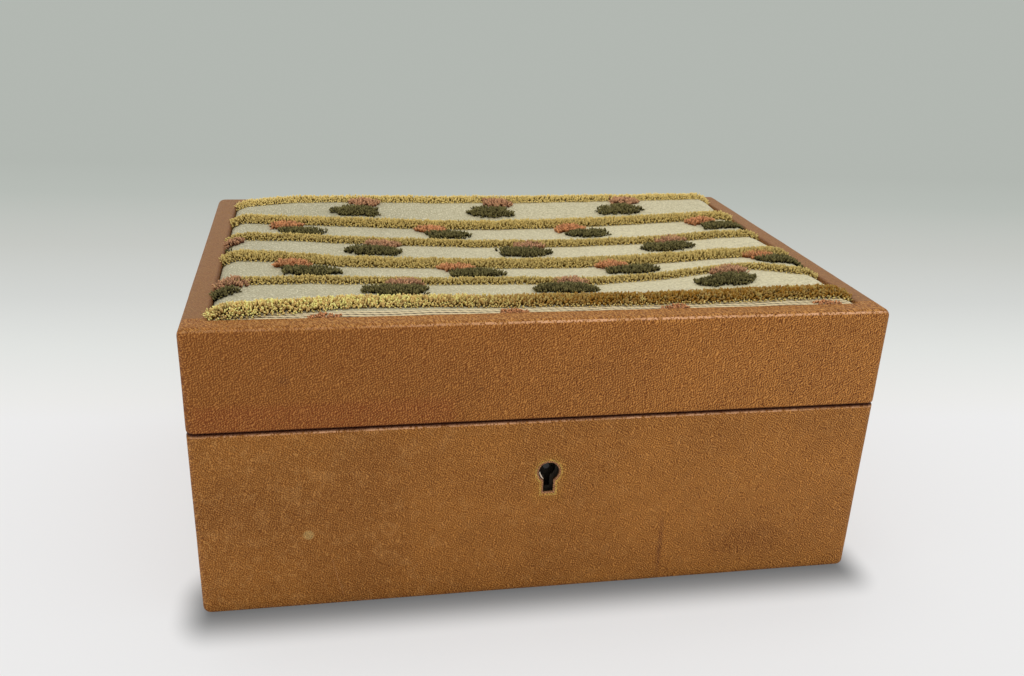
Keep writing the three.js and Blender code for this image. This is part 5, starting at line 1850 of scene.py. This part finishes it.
def floor_material():
    """A paper backdrop, pale round the box with a painted contact shadow at its foot, and grey green behind
    it.
    """
    s = Shade("backdrop_paper")
    behind = s.x * math.sin(BACKDROP_HEADING) + s.y * math.cos(BACKDROP_HEADING)
    stops = [(distance / BACKDROP_REACH, srgb(*tint)) for distance, tint in BACKDROP_STOPS]
    colour = s.node("ShaderNodeValToRGB", {"stops": stops}, {"Fac": behind / BACKDROP_REACH})
    # Painted shadow round the box's footprint, most in front of it.
    aside = most(past(abs(s.x) - WIDTH / 2, CONTACT_SIDE), 0)
    from_front = s.y - FRONT_Y
    ahead = most(most(past(-from_front, CONTACT_FRONT), past(from_front, CONTACT_BEHIND)), 0)
    shade = 1 - root(aside * aside + ahead * ahead).ramp(0, 1)
    colour = s.mix(shade * PAINTED_CONTACT_SHADOW, colour, srgb(6, 8, 9))
    paper = s.surface(colour, 0.9, s.bump(s.noise(0.8, 2), 0.02, 0.3), specular_ior_level=0.0)
    glow = s.node("ShaderNodeEmission", {}, {"Color": colour, "Strength": 1.0})
    kinds = ("Camera", "Glossy", "Transmission")
    seen, mirrored, through = (s.node("ShaderNodeLightPath", {}, {}, f"Is {kind} Ray") for kind in kinds)
    glowing = (seen + mirrored + through).least(1) * BACKDROP_GLOW
    return s.close(s.node("ShaderNodeMixShader", {}, {0: glowing, 1: paper, 2: glow}))


def make_stage():
    """The floor, a soft key lamp, an even white world and the camera."""
    half = FLOOR_HALF
    corners = [(-half, -half, 0), (half, -half, 0), (half, half, 0), (-half, half, 0)]
    floor = make_piece("floor", corners, [(0, 1, 2, 3)], floor_material())
    world = bpy.data.worlds.new("studio_world")
    bpy.context.scene.world = world
    world.use_nodes = True
    background = world.node_tree.nodes["Background"]
    background.inputs["Color"].default_value = (1.0, 1.0, 1.0, 1.0)
    background.inputs["Strength"].default_value = WORLD_LIGHT
    lamp = bpy.data.lights.new("soft_key", "SUN")
    lamp.energy = KEY_LIGHT
    lamp.angle = KEY_SPREAD
    holder = add_object("soft_key", lamp)
    holder.rotation_euler = Vector(KEY_DIRECTION).to_track_quat("-Z", "Y").to_euler()
    make_camera()


# Operators and panel


class JEWELRYBOX_OT_stage(Operator):
    """Makes the floor, the lamps and the camera"""

    bl_idname = "jewelry_box.stage"
    bl_label = "Stage"
    bl_options = {"REGISTER", "UNDO"}

    def execute(self, context):
        make_stage()
        return {"FINISHED"}


class JEWELRYBOX_OT_carcass(Operator):
    """Gives the wooden carcass and the panel card their finish"""

    bl_idname = "jewelry_box.carcass"
    bl_label = "Carcass"
    bl_options = {"REGISTER", "UNDO"}

    def execute(self, context):
        make_carcass()
        return {"FINISHED"}


class JEWELRYBOX_OT_base_leather(Operator):
    """Makes the leather of the base"""

    bl_idname = "jewelry_box.base_leather"
    bl_label = "Base leather"
    bl_options = {"REGISTER", "UNDO"}

    def execute(self, context):
        make_base_leather()
        return {"FINISHED"}


class JEWELRYBOX_OT_lid_leather(Operator):
    """Makes the leather of the lid"""

    bl_idname = "jewelry_box.lid_leather"
    bl_label = "Lid leather"
    bl_options = {"REGISTER", "UNDO"}

    def execute(self, context):
        make_lid_leather()
        return {"FINISHED"}


class JEWELRYBOX_OT_brocade(Operator):
    """Makes the satin ground of the brocade panel"""

    bl_idname = "jewelry_box.brocade"
    bl_label = "Brocade ground"
    bl_options = {"REGISTER", "UNDO"}

    def execute(self, context):
        make_brocade_ground()
        return {"FINISHED"}


class JEWELRYBOX_OT_stripes(Operator):
    """Makes the gold pile stripes"""

    bl_idname = "jewelry_box.stripes"
    bl_label = "Pile stripes"
    bl_options = {"REGISTER", "UNDO"}

    def execute(self, context):
        make_stripes()
        return {"FINISHED"}


class JEWELRYBOX_OT_sprigs(Operator):
    """Makes the leaf clumps and the buds between the stripes"""

    bl_idname = "jewelry_box.sprigs"
    bl_label = "Sprigs"
    bl_options = {"REGISTER", "UNDO"}

    def execute(self, context):
        make_sprigs()
        return {"FINISHED"}


class JEWELRYBOX_OT_linings(Operator):
    """Makes the linings, ledges and pads"""

    bl_idname = "jewelry_box.linings"
    bl_label = "Linings and pads"
    bl_options = {"REGISTER", "UNDO"}

    def execute(self, context):
        make_linings()
        return {"FINISHED"}


class JEWELRYBOX_OT_tray(Operator):
    """Makes the velvet tray with its rolls and ribbons"""

    bl_idname = "jewelry_box.tray"
    bl_label = "Tray"
    bl_options = {"REGISTER", "UNDO"}

    def execute(self, context):
        make_tray()
        return {"FINISHED"}


class JEWELRYBOX_OT_hardware(Operator):
    """Makes the hinges, the lock and the link plate"""

    bl_idname = "jewelry_box.hardware"
    bl_label = "Hardware"
    bl_options = {"REGISTER", "UNDO"}

    def execute(self, context):
        make_hardware()
        return {"FINISHED"}


OPERATORS = [
    JEWELRYBOX_OT_stage,
    JEWELRYBOX_OT_carcass,
    JEWELRYBOX_OT_base_leather,
    JEWELRYBOX_OT_lid_leather,
    JEWELRYBOX_OT_brocade,
    JEWELRYBOX_OT_stripes,
    JEWELRYBOX_OT_sprigs,
    JEWELRYBOX_OT_linings,
    JEWELRYBOX_OT_tray,
    JEWELRYBOX_OT_hardware,
]


class JEWELRYBOX_PT_panel(Panel):
    """Lists the steps that dress the box"""

    bl_idname = "JEWELRYBOX_PT_panel"
    bl_label = "Jewelry Box"
    bl_space_type = "VIEW_3D"
    bl_region_type = "UI"
    bl_category = "Jewelry Box"

    def draw(self, context):
        for group in (context.scene.jewelry_box_colours, context.scene.jewelry_box_sizes):
            for name in group.bl_rna.properties.keys():
                if name not in ("rna_type", "name"):
                    self.layout.prop(group, name)
        for operator in OPERATORS:
            self.layout.operator(operator.bl_idname)


CLASSES = [BoxColours, BoxSizes, *OPERATORS, JEWELRYBOX_PT_panel]


def register():
    for cls in CLASSES:
        bpy.utils.register_class(cls)
    bpy.types.Scene.jewelry_box_colours = PointerProperty(type=BoxColours)
    bpy.types.Scene.jewelry_box_sizes = PointerProperty(type=BoxSizes)


def unregister():
    del bpy.types.Scene.jewelry_box_sizes
    del bpy.types.Scene.jewelry_box_colours
    for cls in reversed(CLASSES):
        bpy.utils.unregister_class(cls)


def main():
    register()
    bpy.context.scene.view_settings.view_transform = "Standard"
    for operator in OPERATORS:
        group, name = operator.bl_idname.split(".")
        getattr(getattr(bpy.ops, group), name)()


if __name__ == "__main__":
    main()
